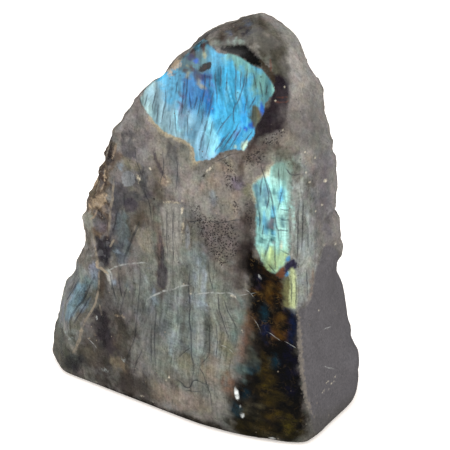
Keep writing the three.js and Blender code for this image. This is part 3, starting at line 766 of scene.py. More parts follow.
wash(flash, (30, 64, 120), (1.4, 1.5, 0.6), 0.5,
     strokes((1.8, (5, 157), (7.4, 149), (6, 140)), (1.8, (-5.4, 155), (-4.6, 146)),
             (1.6, (-0.6, 150), (-1, 141)), (1.4, (2.6, 150), (2.4, 143))))
wash(flash, (120, 112, 158), (1.2, 2, 0.6), 0.5, stroke(1.4, (2, 139), (0.6, 131)),
     spots((-6.5, 140, 2, 8), (6.5, 152, 2, 5), (9, 155, 2, 6), (17, 132, 2, 4, 0.6)))
wash(flash, (76, 100, 106), (1.4, 3, 0.5), 0.65,
     patch((-9, 156), (-3, 163), (3, 169.5), (6, 168), (2, 162), (-4, 155)))
wash(flash, (160, 156, 116), (0.5, 1.0, 0.3), 0.6,
     strokes((0.9, (1.4, 154.4), (1.6, 151), (3.6, 149.6), (5, 151)),
             (0.8, (-3, 156), (-2.4, 152.6)), (0.8, (4, 163.6), (5.6, 162))),
     spot(-3.6, 158.4, 1.2))
wash(flash, (70, 56, 56), (0.5, 1.2, 0.3), 0.9,
     spots((-8.8, 153.8, 3.4, 2.8), (-7.4, 147.2, 3, 4), (-0.8, 163.6, 2.4, 3),
           (2.6, 166.4, 2, 2.6), (-4.3, 156.6, 1.6, 3), (-1.2, 157.6, 1, 1.6), (6.3, 168, 2.4, 3.4),
           (-7, 142.6, 1, 1.6)))
wash(flash, (40, 42, 88), (0.7, 1.2, 0.4), 0.75,
     spots((-2.2, 161.6, 4, 2), (5, 154.4, 2.4, 1.2), (-5, 151, 1, 2.6), (0.4, 155.4, 0.8, 2.4),
           (-6.4, 159.4, 1.4, 1.2)))
wash(flash, (56, 110, 220), (0.5, 1.4, 0.2), 0.9,
     spots((28.3, 142.5, 1.5, 4), (23.6, 136.6, 2.4, 2.2), (21.6, 134.4, 1.4, 2),
           (1, 160.4, 1.2, 1.6)))
wash(flash, (106, 94, 48), (0.8, 2.4, 0.3), 0.9, spot(25.8, 139.8, 4.2, 7.6, -0.25))
wash(flash, (200, 222, 190), (0.7, 1.2, 0.3), 0.8,
     spots((20.8, 127.8, 2.4, 3.4, 0.4), (17.6, 127, 2, 1.2)))

# ---- The green flash -------------------------------------------------------------------------
# A second field of the same play of colour lies on the ridge, aqua above and yellow-green at its
# foot. Its colours are kept with the blue one's, since the two don't overlap.

GREEN = patch(
    (24.2, 111.4), (27, 114.5), (29.6, 116.8), (31.7, 119.5), (34.2, 122), (37.5, 123), (40.6, 121),
    (41, 112), (40.6, 92), (40.4, 84), (38.8, 81.6), (38.4, 79.9), (36.7, 78.4), (34, 75.6),
    (31.6, 77.4), (29.4, 79.9), (27.6, 82), (26.5, 84.5), (25.9, 88.2), (26, 93.5), (26.2, 99),
    (25.7, 105.5))
blend(flash, (178, 246, 238), falls(height, 122, 124) * rises(across, 20, 23))
wash(flash, (112, 146, 166), (1.4, 1.6, 0.5), 0.85,
     strokes((4.4, (25.6, 113), (26.6, 107), (27.4, 99)), (3, (30.4, 112), (30.6, 106), (31, 101))))
wash(flash, (96, 184, 230), (1.2, 1.6, 0.5), 0.9,
     strokes((3, (29, 104), (29.6, 98), (30.6, 90)), (2.6, (33.4, 106), (33, 99), (33.2, 91)),
             (1.8, (26.6, 100), (26.8, 94)), (2.4, (36.8, 112), (36.2, 105))))
wash(flash, (118, 116, 112), (0.9, 1.6, 0.5), 0.55,
     strokes((1.6, (32, 109), (31.6, 104)), (1.2, (28.6, 108), (28.8, 103)),
             (1.2, (29, 92), (30.6, 87))))
wash(flash, (196, 252, 242), (1.5, 3, 0.6), 0.9,
     patch((35, 104), (40, 104), (40, 86), (36, 86), (35, 93)),
     patch((31, 118), (36, 120), (36, 114), (33, 111)))
wash(flash, (128, 150, 142), (1.6, 3, 0.8), 0.8,
     patch((34, 124), (42, 123), (42, 112), (38, 113), (35, 118)),
     stroke(1.8, (40.2, 112), (40.6, 100), (40.4, 88)))
wash(flash, (86, 122, 132), (0.9, 2.4, 0.6), 0.6,
     strokes((1.2, (28, 107), (28.4, 101)), (1.4, (26.8, 109), (27, 104)),
             (1, (34.6, 108), (34.4, 102)), (1.2, (30.6, 98), (31, 93))),
     spot(37.6, 97, 1, 2.4))
wash(flash, (52, 92, 98), (0.8, 3, 0.8), 0.85,
     patch((25.6, 95), (29, 92), (33, 92.4), (34, 90), (32, 87), (30, 87), (26, 87)),
     strokes((1.6, (26.6, 103), (27, 92)), (1.2, (33, 87), (31.4, 82)),
             (1, (32.6, 100), (31.6, 92))))
wash(flash, (204, 234, 166), (2.4, 2, 0.8), 0.9,
     patch((25.5, 85), (30, 87), (33.6, 86), (37, 88), (40.4, 85), (38.6, 78), (34, 74), (28, 78)))
wash(flash, (238, 238, 208), (0.8, 1.8, 0.5), 0.85,
     patch((35.4, 91), (37.4, 90), (38, 82), (36.4, 80.4)),
     stroke(1.4, (28.4, 115.6), (32.4, 119.8)))
wash(flash, (150, 140, 150), (0.6, 1.4, 0.3), 0.6,
     spots((32.1, 97, 1.4, 2.6), (33.4, 88.6, 1.2, 1.4)))
wash(flash, (216, 150, 94), (0.4, 0.5, 0.1), 0.6,
     spots((35, 88.6, 0.8, 1.2), (33.8, 80.6, 0.4, 2.4)))
wash(flash, (96, 104, 78), (0.7, 1.2, 0.3), 0.6,
     stroke(1.6, (26.4, 88), (28, 83.4), (31, 80), (34, 77.4), (36.4, 79.4)))
wash(flash, (94, 140, 158), (2.2, 3, 0.6), 0.6,
     patch((24, 112), (29, 117), (31, 110), (29.4, 100), (26, 97), (24, 104)))
wash(flash, (140, 172, 160), (1.6, 3, 0.8), 0.7,
     patch((32, 121), (36, 124), (42, 123), (41, 116), (37, 116), (34, 117)))
wash(flash, (64, 110, 128), (0.8, 2.4, 0.6), 0.6,
     strokes((1, (29.6, 107), (30, 100)), (1, (33.8, 113), (33.6, 107)),
             (0.9, (36.8, 100), (37, 95)), (0.9, (27.6, 90), (29.4, 85))))
flash *= (1 + 0.22 * clouds(1.8, 3, 0.7) + 0.85 * fine_streaks + 0.35 * broad_streaks)[:, None]


def keep_colour(name, colours):
    """Writes one colour for each point."""
    store = stone.data.attributes.new(name, "FLOAT_COLOR", "POINT")
    opaque = np.ones(len(colours))
    rows = np.column_stack([np.clip(colours, 0.001, 1), opaque])
    store.data.foreach_set("color", rows.astype(np.float32).ravel())


keep_colour("body_colour", body)
keep_colour("flash_colour", flash)

# How far inside its flash each point is, over the softness of the edge. The blue one ends where
# the stone turns away, and the green one fades out on its right.
BLUE_SOFT = 0.5  # mm
blue_edge = np.clip((BLUE + 0.5 * ragging) / BLUE_SOFT, OFF, -OFF)
keep("blue_edge", blue_edge + OFF * (1 - rises(facing, 0.02, 0.12)))
fading = rises(across, 37, 40)
green_soft = 0.9 + 2.2 * fading
green_edge = GREEN + (0.7 - 0.5 * fading) * ragging + (3 * fine_streaks - 1.2) * fading
keep("green_edge", np.clip(green_edge / green_soft, OFF, -OFF))

# ---- Rims, chips and other crisp marks -------------------------------------------------------
# Crusts, chips and facets with sharp edges, and painted highlights, drawn over the washes. A mark
# has its name, its colour, how soft and ragged its edge is in mm, its strength and its shapes.

crisp_marks = []


def mark(name, colour, soft, ragged, strength, *shapes):
    """Notes down a colour with a crisp edge, where any of the shapes lies."""
    keep(name, np.maximum.reduce(shapes) / soft)
    crisp_marks.append((name, seen(*colour), ragged / soft, strength))


# The rims lie under the flashes and show 1 to 1.5 mm beyond them: the blue one's at its lower
# left, the green one's at its upper left.
blue_rim = BLUE + 1.5 - 5 * rises(across, 0, 6) - 9 * rises(height, 133, 142)
green_rim = GREEN + 1.0 - 6 * rises(across, 33, 37) - 6 * falls(height, 100, 106)
mark("cream_rim", (190, 178, 148), 1, 1, 0.75, blue_rim)
mark("green_rim", (186, 182, 156), 1, 1.4, 0.7, green_rim)
RIMS = len(crisp_marks)  # how many marks lie under the flashes

mark("blotch", (34, 22, 26), 0.4, 0.8, 0.97, stroke(2.8, (1.8, 156.8), (4.4, 158.2), (7.2, 160.4)))
mark("blotch_middle", (70, 48, 44), 0.4, 0.8, 0.8,
     stroke(1.0, (3, 157.6), (4.4, 158.3), (6.2, 159.6)))
mark("tan_notch", (188, 168, 142), 0.8, 2, 0.8,
     spots((-8.5, 158, 4, 4.4, 0.6), (-11, 154.6, 2, 2.6)))
mark("band", (30, 24, 30), 0.7, 1.0, 0.97,
     patch((10, 165.6), (13.2, 166.8), (16.4, 167.8), (21, 168.2), (22.9, 166.8), (25.1, 165.2),
           (27.4, 163), (28.6, 161.2), (27.6, 160), (25.2, 160.4), (22.9, 161.2), (21, 162.8),
           (17.8, 164), (14.2, 164.8)))
mark("band_brown", (66, 58, 48), 0.8, 1.6, 0.85,
     patch((27.6, 163), (30, 161), (33.4, 157.6), (33.6, 154), (32.4, 153.6), (31, 156),
           (29, 158.8), (27.6, 160.2)))
mark("reddish", (120, 78, 64), 0.3, 0.5, 0.5,
     strokes((0.5, (33, 148.6), (36, 148), (39.5, 148.4)),
             (0.5, (33, 146.6), (36, 146.1), (39.3, 146.6)), (0.9, (31.5, 163), (32, 158))))
mark("bite_brown", (112, 72, 52), 0.6, 0.9, 0.95,
     patch((34.4, 75.2), (36.8, 78.3), (38.4, 79.8), (38.6, 76), (37, 73.6)))
mark("bite_navy", (52, 48, 74), 0.7, 1, 0.95,
     patch((38.4, 80.2), (41, 82.6), (43, 81.6), (44.2, 79.4), (42.4, 77.8), (41, 76.8), (39, 74.8),
           (38.3, 75.4)))
mark("azure_nick", (74, 166, 230), 0.6, 0.6, 0.9,
     patch((38.4, 82.6), (40.6, 84), (40.5, 81.6), (38.7, 80.8)),
     stroke(0.9, (38.6, 75), (41, 77.4)))
mark("ridge_yellow", (216, 230, 172), 0.9, 0.6, 0.88,
     patch((39.8, 78.4), (42.8, 78.6), (43.2, 70), (43.6, 61.6), (40.8, 61.4), (40.4, 66),
           (41, 72)))
mark("side", (106, 103, 107), 0.8, 0.9, 0.97,
     patch((56.5, 84), (55, 82), (54, 78.5), (52.6, 76.5), (51.5, 73), (51, 69), (50.1, 64.5),
           (47.5, 61.5), (44.4, 61.2), (44.2, 60), (44.4, 49.3), (44.8, 40.8), (45.8, 34),
           (46.5, 28.8), (47.2, 23.7), (49, 18.6), (50.1, 15.7), (51, 12), (52, 5), (60, -3),
           (90, -3), (90, 58), (68.5, 62), (66.4, 70), (64, 77), (60.5, 82)))
mark("side_foot", (94, 91, 86), 4, 5, 0.6,
     patch((50, 14), (60, 8), (76, 6), (90, 0), (56, -4), (46, 2)))
# A pale line along the ridge between the dark strip and the ground side: painted highlight.
mark("rim", (146, 137, 124), 0.6, 1.6, 0.68,
     stroke(1.7, (43.6, 62.5), (44.6, 56), (45, 49.3), (45.4, 40.8), (46.4, 34), (47, 28.8),
            (47.7, 23.7), (49.4, 18.6), (50.6, 15), (52, 12)))
mark("grey_facets", (140, 145, 150), 0.4, 0.6, 0.6,
     patch((-35, 108.6), (-28.6, 109.4), (-28, 103.4), (-34.6, 101.4)),
     patch((-4.6, 91), (-2.8, 91.6), (-2.7, 80), (-4.8, 79.6)))
mark("silver_panel", (150, 149, 142), 0.5, 0.8, 0.55,
     patch((-15.6, 97.6), (-11, 99), (-6.4, 99.6), (-6.2, 86), (-8.2, 79), (-13, 80), (-14.8, 88)))
mark("violet_facets", (68, 63, 72), 0.5, 1.0, 0.65,
     patch((-18, 70.4), (-12.9, 71), (-13.2, 60.4), (-18.4, 58.6)),
     patch((-34.6, 96), (-27.8, 98), (-26.6, 92), (-33.8, 89.4)),
     strokes((1.8, (-17, 84.6), (-15, 77), (-16, 68.6)),
             (1.6, (-19.6, 122), (-17.4, 115), (-12.8, 108))))
mark("edge_dark", (60, 52, 50), 1.2, 3, 0.85,
     patch((-43.6, 95), (-41.4, 95), (-41.4, 86), (-43.4, 86)),
     patch((-42.6, 119), (-39, 119), (-39, 111), (-43, 110)),
     patch((-46, 110), (-41, 107), (-43.4, 98), (-48, 101)),
     patch((-50, 88), (-45, 88), (-44, 84), (-49, 84.6)))
mark("edge_gold", (180, 160, 134), 0.8, 2.0, 0.85,
     patch((-45.5, 96.5), (-42.3, 96.5), (-42.8, 93.5), (-44.3, 91), (-47, 89.5), (-50, 88),
           (-52, 90.5), (-49, 93.5)),
     strokes((1.2, (-43.3, 107), (-43.8, 103)), (2, (-48, 102.4), (-50, 98)),
             (1.2, (-54, 88.6), (-50.6, 87.4))))
mark("edge_tan", (164, 146, 126), 0.4, 0.6, 0.75,
     strokes((1.3, (-42.4, 120), (-45, 112.6)), (1, (-36.8, 121), (-39.6, 113)),
             (0.9, (-48, 88), (-49, 84.6), (-52, 82.6)), (0.8, (-44, 101), (-46.4, 96))))
mark("blade_chip", (150, 157, 155), 0.6, 1.6, 0.75,
     spots((-63.6, 22, 2.4, 1.4, 0.8), (-67, 24, 1.2, 1.4), (-45, 10.8, 3, 1.4, 0.4),
           (-35.5, 19.5, 1.4, 1)))
mark("crevice_bright", (192, 175, 150), 0.4, 0.8, 0.8,
     strokes((1.5, (-48.6, 64.4), (-48, 60)), (1.2, (-47.4, 61.6), (-43, 58.8)),
             (1.2, (-57.4, 29.6), (-58.4, 26)), (1.2, (-59.6, 20), (-61, 17))))
mark("tan_spots", (154, 140, 120), 0.5, 0.8, 0.7,
     spots((-38.5, 40, 2, 0.8), (-35.6, 40.6, 1.4, 1.2), (-28.3, 68.2, 1, 1.2), (-50.6, 27, 1, 0.8),
           (-54, 24.6, 0.8, 1)))
mark("cream_lines", (178, 168, 146), 0.4, 0.7, 0.7,
     strokes((1.1, (-26.9, 109), (-26.4, 104)), (1.1, (-5.6, 99.4), (-5.8, 92), (-6, 84)),
             (0.8, (-15.4, 98.2), (-10, 99.6), (-6, 100))))
mark("cream_spots", (222, 213, 190), 0.35, 0.7, 0.85,
     spots((6.2, 116.6, 1.4, 2.4, 0.8), (-12.6, 108, 1.4, 0.8), (-20.8, 112, 0.7, 0.8),
           (-6.1, 96, 0.6, 7), (-6.3, 84.5, 0.6, 4), (-26.2, 106.6, 1, 3.6), (-2.7, 61.3, 0.7, 1.6),
           (-5.7, 64.4, 0.7), (16.4, 63.6, 1.7, 0.8), (20.4, 49, 1, 0.8), (55.9, 112, 1.6, 1.4),
           (57, 20, 1.6, 0.6), (61, 20.6, 1.6, 0.5), (53, 20.5, 0.6), (58.6, 22.6, 1, 0.4),
           (59.2, 18.8, 0.8, 0.4), (62.8, 22.2, 0.9, 0.4), (55, 18.4, 0.6, 0.4), (54.7, 101.8, 0.7),
           (51.7, 100.3, 0.6), (56.2, 84, 0.7), (62, 82, 0.8, 0.7), (48.5, 113.5, 0.7),
           (46.7, 118, 0.6), (50.8, 123, 0.7), (33, 152, 0.5), (37.5, 152, 0.5), (33.5, 147, 0.6),
           (32, 137.5, 0.5), (37, 135.3, 0.5), (54, 57, 0.5), (-50.5, 3, 0.9, 0.7),
           (-26.5, 5, 1.1, 0.6), (-21.3, 4, 0.7), (-13, 19, 0.6, 0.7), (-14.2, 17, 0.6, 0.7),
           (32.4, 16.8, 0.6), (48.5, 10, 0.7, 0.6), (16, 7.4, 1.2, 0.6), (-2.4, 146.6, 0.6, 0.9),
           (-4.6, 151.6, 0.5, 0.7), (46, 126, 0.5)))
mark("dark_dots", (38, 33, 33), 0.35, 0.8, 0.85,
     spots((3.9, 113.5, 1.1, 1.8, 0.5), (-30.5, 82, 0.8), (-19, 99, 1.2, 1.4),
           (-45.4, 111, 1.6, 1.8), (45.5, 167.5, 1.6, 2), (-24, 75, 1), (-13, 84, 0.7, 1.4)))
# Painted highlights: small white reflections of the light on the polish, most at the dark strip's foot.
mark("painted_glints", (240, 246, 244), 0.5, 0.1, 0.97,
     patch((20, 14.4), (21, 12.6), (21.5, 10.6), (20.4, 9.6), (19.3, 10.8), (19.4, 13)),
     strokes((1.7, (17.6, 23.4), (18.1, 20), (18.9, 16.8)), (1.3, (20.2, 15.8), (20.4, 13.4)),
             (0.8, (32, 2.6), (35.4, 2.5)), (0.5, (27.2, 74.6), (28.4, 72.6)),
             (0.5, (-49.6, 37), (-49.4, 34.8))))

# ---- Cracks and veins ------------------------------------------------------------------------
# The stone is crossed by fine dark cracks, thin pale veins and tan seams. A line has its width and
# its course in mm, and each point of the stone keeps its signed distance from it, its strength and
# its half width there. Lines too close together go into different sets.

APART = 3.0  # mm between two lines of one set
REACH = 1.3  # mm to each side of a line that still knows of it
LINE_WEIGHT = 0.35  # the full core's share of a line's width


def line_sets(lines):
    """Sorts the lines into sets whose lines stay clear of one another."""
    sets = []
    for wide, *course in lines:
        line = eased(course, False)
        for chosen in sets:
            gaps = [to_segments(*line.T, other, False)[0].min() for _, other in chosen]
            if min(gaps) > APART:
                chosen.append((wide, line))
                break
        else:
            sets.append([(wide, line)])
    return sets


def keep_lines(name, lines):
    """Writes each set of lines as a vector attribute, and returns the attributes' names."""
    names = []
    for number, chosen in enumerate(line_sets(lines)):
        rows = np.zeros((len(across), 3))
        rows[:, 0] = APART
        nearest = np.full(len(across), APART)
        for wide, line in chosen:
            which = near(line.min(0), line.max(0))
            apart, side, place = to_segments(across[which], height[which], line, False)
            taper = np.clip(1 - np.abs(2 * place - 1) ** 4, 0, 1)
            nearer = apart < nearest[which]
            won = which[nearer]
            nearest[won] = apart[nearer]
            rows[won, 0] = (apart * side)[nearer]
            rows[won, 1] = np.where(apart < REACH, taper**0.5, 0)[nearer]
            rows[won, 2] = wide * LINE_WEIGHT / 2
        names.append(f"{name}_{number + 1}")
        store = stone.data.attributes.new(names[-1], "FLOAT_VECTOR", "POINT")
        store.data.foreach_set("vector", rows.astype(np.float32).ravel())
    return names


blue_cracks = [
    (1.3, (11, 159.5), (11.2, 156), (11, 151)),
    (0.7, (9, 158), (8.6, 153.5), (9.5, 148.8), (9.5, 144)),
    (1.7, (8.4, 149.5), (7, 144), (6, 139.3), (4.9, 134.8), (3.5, 130.2), (2.3, 125.6), (1.8, 121)),
    (1.0, (17.3, 161), (17.5, 156), (17.1, 151.7), (17.5, 146)),
    (0.9, (17.5, 145.5), (16.4, 142), (16.2, 138.8), (16.9, 136)),
    (0.9, (15.8, 140.8), (13.2, 137.5), (11, 134.6), (9.6, 131)),
    (0.9, (19, 137.2), (16.9, 133.4), (14.1, 129), (11.4, 124.6)),
    (0.9, (20, 135.2), (17.8, 131.3), (14.6, 126)),
    (0.7, (14.8, 133), (12.3, 129.3), (10.2, 125.8)),
    (0.9, (21.4, 157), (20.5, 152), (19.2, 147.6), (16.9, 143.2)), (0.7, (22.1, 159), (21.8, 153)),
    (0.7, (27.1, 154.4), (28.6, 148)), (0.7, (24.6, 158), (25.9, 151)),
    (0.7, (-17.3, 146), (-18.8, 141.2), (-19.5, 137.6)),
    (0.9, (-13.1, 148), (-12.9, 142.2), (-14.4, 137.5), (-14.9, 133)),
    (0.9, (-9, 140.7), (-8.7, 135.5), (-8.5, 129)), (0.7, (-21.4, 144.6), (-22.9, 139)),
    (0.9, (-2.4, 147.5), (-1.5, 140)), (0.9, (1.3, 146.7), (-0.6, 140)),
    (0.7, (2.8, 146.4), (1.2, 138)), (0.7, (-4.6, 152), (-5.4, 144), (-5.8, 136)),
    (0.7, (3.9, 142), (2.8, 135)), (0.7, (24.6, 134.2), (21.6, 130.6), (19.6, 127)),
    (0.7, (12.8, 131), (8.6, 124)), (0.7, (6.4, 129), (4.6, 122)), (0.7, (-11, 137), (-11.4, 130)),
    (0.7, (-16.4, 141), (-17.4, 133)), (0.7, (13.6, 157), (13.4, 149)),
    (0.7, (19.6, 158), (19.2, 151)), (0.7, (22.4, 149), (21, 141)), (0.6, (-3.2, 138), (-3.4, 129)),
    (0.6, (7.6, 137), (6.6, 130)), (1.1, (4.6, 156), (4.4, 149), (2.6, 142)),
    (1.0, (-3, 155), (-3.6, 147), (-4.6, 141)), (1.0, (6.6, 155), (6.4, 150)),
    (0.9, (-7.6, 152), (-8.4, 146)), (0.9, (-25, 143), (-24.4, 139)), (0.9, (25.6, 148), (23, 143)),
    (0.9, (30.4, 153), (29.6, 149)),
]
green_cracks = [
    (1, (41.2, 74), (41.4, 68), (41.2, 63)), (0.9, (43, 75), (43.3, 66), (43.2, 62)),
    (0.8, (27.8, 122), (28.4, 118.6), (29.3, 116), (30.4, 112.7), (31.3, 108.9), (31.5, 107.2),
     (30.9, 104.6), (29.8, 101)),
    (1.2, (28.7, 116.4), (28, 111.6), (27.8, 107.6)),
    (1.2, (30, 115), (31.9, 110), (32.6, 106.7), (33.3, 102.5), (34, 99.2), (34.6, 95.8),
     (35.3, 93.4), (35.6, 89.6)),
    (0.8, (35.3, 120.4), (35.4, 115.3), (35.7, 111)),
    (0.7, (36.9, 111), (35.9, 106.4), (35.1, 102)), (0.8, (34.9, 94), (37, 94.3), (40, 94.1)),
    (0.8, (27.4, 101.4), (27.9, 97), (27.2, 93.4)), (1.6, (31.9, 90), (30.8, 85.6), (29.8, 82)),
    (0.7, (34, 89.6), (34, 84.5), (34.4, 77)), (0.7, (29.4, 96), (28.6, 91)),
    (0.6, (36, 103), (38, 102.6), (40, 103)), (0.6, (36.2, 99), (38.2, 98.6), (40, 99)),
    (0.7, (36.4, 86), (38.6, 85), (40.2, 84)), (0.7, (45.4, 110), (45.8, 98), (45.2, 86)),
    (0.7, (43.5, 104), (43.6, 92), (43.4, 80)), (0.7, (48, 96), (48.2, 86)),
    (0.7, (47.6, 78), (48.2, 66)), (0.7, (38, 120), (40.2, 117), (44.6, 117.6)),
    (0.7, (31, 79.6), (33, 77.6), (34.6, 76)),
]
field_cracks = [
    (0.9, (-19.2, 51), (-18.8, 46.3), (-19.7, 40), (-20, 33.5), (-19.5, 20)),
    (0.5, (-21, 44), (-21.6, 36), (-21.4, 28), (-21.8, 20)),
    (1.1, (-2.7, 74.5), (-2.7, 69), (-3.4, 64), (-3, 59), (-2.7, 54), (-3.3, 48.3), (-2.5, 44.8),
     (-2.2, 39.3), (-2.4, 32.5), (-1.1, 29), (-1.2, 26), (-2, 21.6)),
    (0.5, (-8.4, 30), (-5, 33.8), (-2.4, 36.3)),
    (0.6, (6, 50), (6, 44.6), (6.1, 39), (5.8, 35), (4.8, 33.5), (2.4, 30.3), (0.7, 27)),
    (0.5, (0.3, 30), (2.8, 26.2), (4.6, 22), (5.6, 19.5), (6.5, 16.8), (6.8, 12)),
    (0.6, (10, 63.5), (10, 57.3), (11.8, 52), (13, 48.5), (14.9, 44)),
    (0.6, (12.1, 62.3), (14.4, 56), (16.2, 53), (18.4, 49.4)),
    (0.8, (-11, 19.6), (-8.6, 18.6), (-6.3, 18.3), (-6, 17), (-4.4, 16.7), (-2.8, 17.9), (-2, 20.6),
     (-0.5, 22.3), (0.8, 22), (3.2, 21.2), (5.6, 21.5)),
    (0.4, (-5, 15.6), (1.4, 17.1)), (1.0, (-3.6, 92.3), (0, 93.2), (4.2, 94.8)),
    (0.4, (4, 94.5), (10, 94.3), (15, 95.8), (20.4, 97.3)),
    (2.4, (-26, 88), (-27.5, 84.5), (-30.1, 78.9), (-33.2, 71.2), (-34.9, 66.4)),
    (2.2, (-50.2, 56), (-52.7, 50.9), (-55.6, 44.4), (-61.2, 37.5), (-64.3, 31)),
    (1.2, (-51.8, 47.1), (-56.8, 39.1), (-62.1, 30.2)),
    (1, (-57.6, 54), (-59.8, 50), (-63.8, 43.6), (-67.4, 37.4)),
    (1.4, (-42, 60), (-41, 54), (-39, 47)), (1.2, (-37.6, 62), (-37, 54), (-35, 46)),
    (1.2, (-36.6, 92), (-38.6, 84), (-40, 79)),
    (0.5, (9, 120), (12, 121.6), (15, 123.7), (17, 124.4)),
    (0.5, (-26, 66), (-27, 54), (-28.6, 42), (-30, 30)), (0.5, (9, 50), (9.6, 42), (9, 34)),
    (0.5, (-10, 97), (-10.6, 84), (-10, 70)), (0.4, (-13, 96), (-13.4, 86), (-13, 74)),
    (0.5, (5.4, 78), (6, 70), (8, 64)), (0.5, (-33, 56), (-35.6, 48), (-37, 42)),
    (0.5, (-29, 34), (-33, 24), (-35, 16)), (0.5, (-26, 28), (-29.4, 20), (-31, 14)),
    (0.5, (-44, 74), (-43, 68), (-44, 63)), (0.5, (-24, 102), (-21, 96), (-20.6, 90)),
    (0.5, (-34, 100), (-33.6, 94), (-35.6, 88)), (0.5, (-28, 122), (-27.4, 114), (-23.6, 106)),
    (0.5, (-15, 122), (-14, 114), (-16.4, 106)), (0.5, (-8.4, 120), (-7.8, 112), (-9, 104)),
]
veins = [
    (1.5, (-43.4, 60.3), (-38.5, 63.5), (-35.5, 65.2), (-28.3, 67.8), (-23, 69.5), (-21, 68.8)),
    (1.6, (-23.9, 51.4), (-21.1, 54.3), (-18.5, 56), (-15, 58.7), (-10, 60.6), (-8.2, 62.3),
     (-5.3, 63.8), (-2.2, 64.8)),
    (1.2, (-0.6, 60.8), (4.9, 63), (8.5, 63.7), (12.5, 64.3), (15.8, 65), (17.2, 63.8),
     (18.2, 62.4)),
    (0.3, (18.3, 64.1), (23, 65.7), (26.4, 66.6)), (0.3, (38.6, 46.9), (41, 45.6), (44, 43.8)),
    (0.2, (31, 50.4), (33.6, 49), (37, 46.8)), (0.2, (24.6, 56), (27, 53), (28.4, 50)),
    (0.6, (-55.2, 24.6), (-52.6, 22.8), (-50, 20.4)), (0.5, (11, 41), (14, 40.6), (16.4, 38.6)),
    (0.2, (20.4, 67.6), (23, 67), (25.8, 64)), (0.5, (57, 31), (59.4, 28.6), (62.6, 26)),
    (0.5, (56.4, 47), (60.6, 45.6)),
]
seams = [
    (2.4, (-50.8, 76.4), (-50.3, 73.6), (-49.4, 68.6), (-47.8, 63.3)),
    (3.4, (-48.6, 64.6), (-47.4, 61.4), (-45.6, 60.2), (-42.6, 59)),
    (2.2, (-47.2, 60), (-48, 57.1), (-47.6, 52.4), (-49.1, 46.4), (-50, 42.8), (-52.4, 38.4),
     (-55.2, 34.4), (-57.6, 28.4)),
    (4.2, (-57, 30.6), (-58.9, 23.6), (-61.2, 17.6), (-63.6, 14)),
    (3.2, (-38.5, 105), (-38.9, 102.2), (-39.8, 94.7), (-41, 89.4), (-41.3, 85.1), (-42.1, 78.6)),
    (2, (-39.2, 76.4), (-41.6, 72)), (2, (-47.8, 43), (-46.9, 37.6)),
    (1.6, (-50.6, 88), (-53, 84.4)), (1.8, (-40.6, 120), (-42.6, 113)),
    (1.4, (-46, 102), (-48.4, 96)),
]
dark_lines = keep_lines("crack", blue_cracks + green_cracks + field_cracks)
tan_lines = keep_lines("seam", seams)
pale_lines = keep_lines("vein", veins)

# ---- How the faces were worked ---------------------------------------------------------------
# The front was polished, the right side only ground flat, and the back was left as it broke. The
# polish broke up into pits here and there, and the fibres show more in some places than in others.

GROUND = patch(
    (57, 85), (55, 82), (54, 78.5), (52.6, 76.5), (51.5, 73), (51, 69), (50.1, 64.5), (47.5, 61.5),
    (43.6, 61.3), (44.2, 49.3), (44.7, 40.8), (45.7, 34), (46.3, 28.8), (47, 23.7), (48.8, 18.6),
    (49.8, 15.7), (51, 10), (55, -3), (90, -3), (90, 190), (26, 190), (33, 175.4), (38.4, 168),
    (41.8, 154), (39.4, 145), (38.7, 137), (44, 131), (52, 126), (53, 92))
PITTED = np.maximum.reduce([
    patch((-3, 97), (17, 96), (20, 87), (14, 76), (9, 76), (4, 86)),
    stroke(5, (11.6, 92), (12.6, 84), (13, 78)),
    spots((15.5, 113.5, 5, 8), (14, 119, 3, 6), (23, 122, 5, 7), (27, 124, 5, 6), (31.5, 131, 7, 5),
          (36, 134, 5, 3), (0, 98.6, 4.4, 5), (-1.7, 87, 3), (-40, 115, 4, 9), (23, 99, 3, 14),
          (17, 103, 3, 5), (2, 89, 3))])

# The polish runs on round the blade's edge, and elsewhere it ends where the stone turns away.
round_the_blade = 0.75 * falls(across, -60, -52) * falls(height, 50, 66)
broken = 1 - rises(facing + round_the_blade, -0.16, 0.10)
keep("ground", rises(GROUND, -1.2, 1.2) * (1 - broken))
keep("broken", broken)
fewer_pits = rises(patch((4, 94), (14, 94.6), (14, 88), (9.6, 84), (6, 88)), -0.6, 1.6)
keep("pitted", PITTED - 2.2 * fewer_pits)
keep("chunky", falls(across, -34, -20) * (1 - broken))
well_lined = np.maximum.reduce([
    patch((-26, 100), (-5, 102), (4, 90), (18, 68), (18, 20), (8, 8), (-24, 10), (-36, 40),
          (-26, 66)),
    patch((38, 122), (50, 122), (52, 62), (40, 62)),
    patch((-48, 66), (-62, 16), (-76, 20), (-56, 72))])
flashing = rises(np.maximum(BLUE, GREEN), -1, 2)
keep("lined", np.maximum(rises(well_lined, -4, 4), 0.55 * flashing) * 0.75 + 0.2)
crackled = np.maximum.reduce([
    falls(across, -26, -14) * rises(height, 40, 60),
    0.45 * rises(height, 88, 100) * falls(across, 14, 24),
    0.5 * falls(height, 16, 26) * falls(across, -10, 10)])
keep("crackled", crackled * (1 - flashing) * (1 - broken))
RUNGS = np.maximum.reduce([
    patch((-15, 54), (-10, 54), (-9, 34), (-12, 26), (-15, 34)),
    patch((-8, 52), (-3.6, 50), (-3.4, 32), (-8, 32)), patch((3, 48), (8, 48), (9, 34), (4, 34)),
    patch((12, 58), (18, 60), (18, 46), (13, 44)), patch((34, 110), (40, 110), (40, 86), (35, 86))])
keep("rungs", rises(RUNGS, -1, 1.5))
keep("webbed", rises(STRIP, -3, 3) * (0.35 + 0.65 * rises(height, 46, 62)))

# ---- Its finish ------------------------------------------------------------------------------
# Feldspar takes a glassy polish. The flashes lie just under it, cut through by the fibres.

POLISHED_ROUGH, GROUND_ROUGH, BROKEN_ROUGH = 0.17, 0.6, 0.72
FELDSPAR_IOR = 1.56

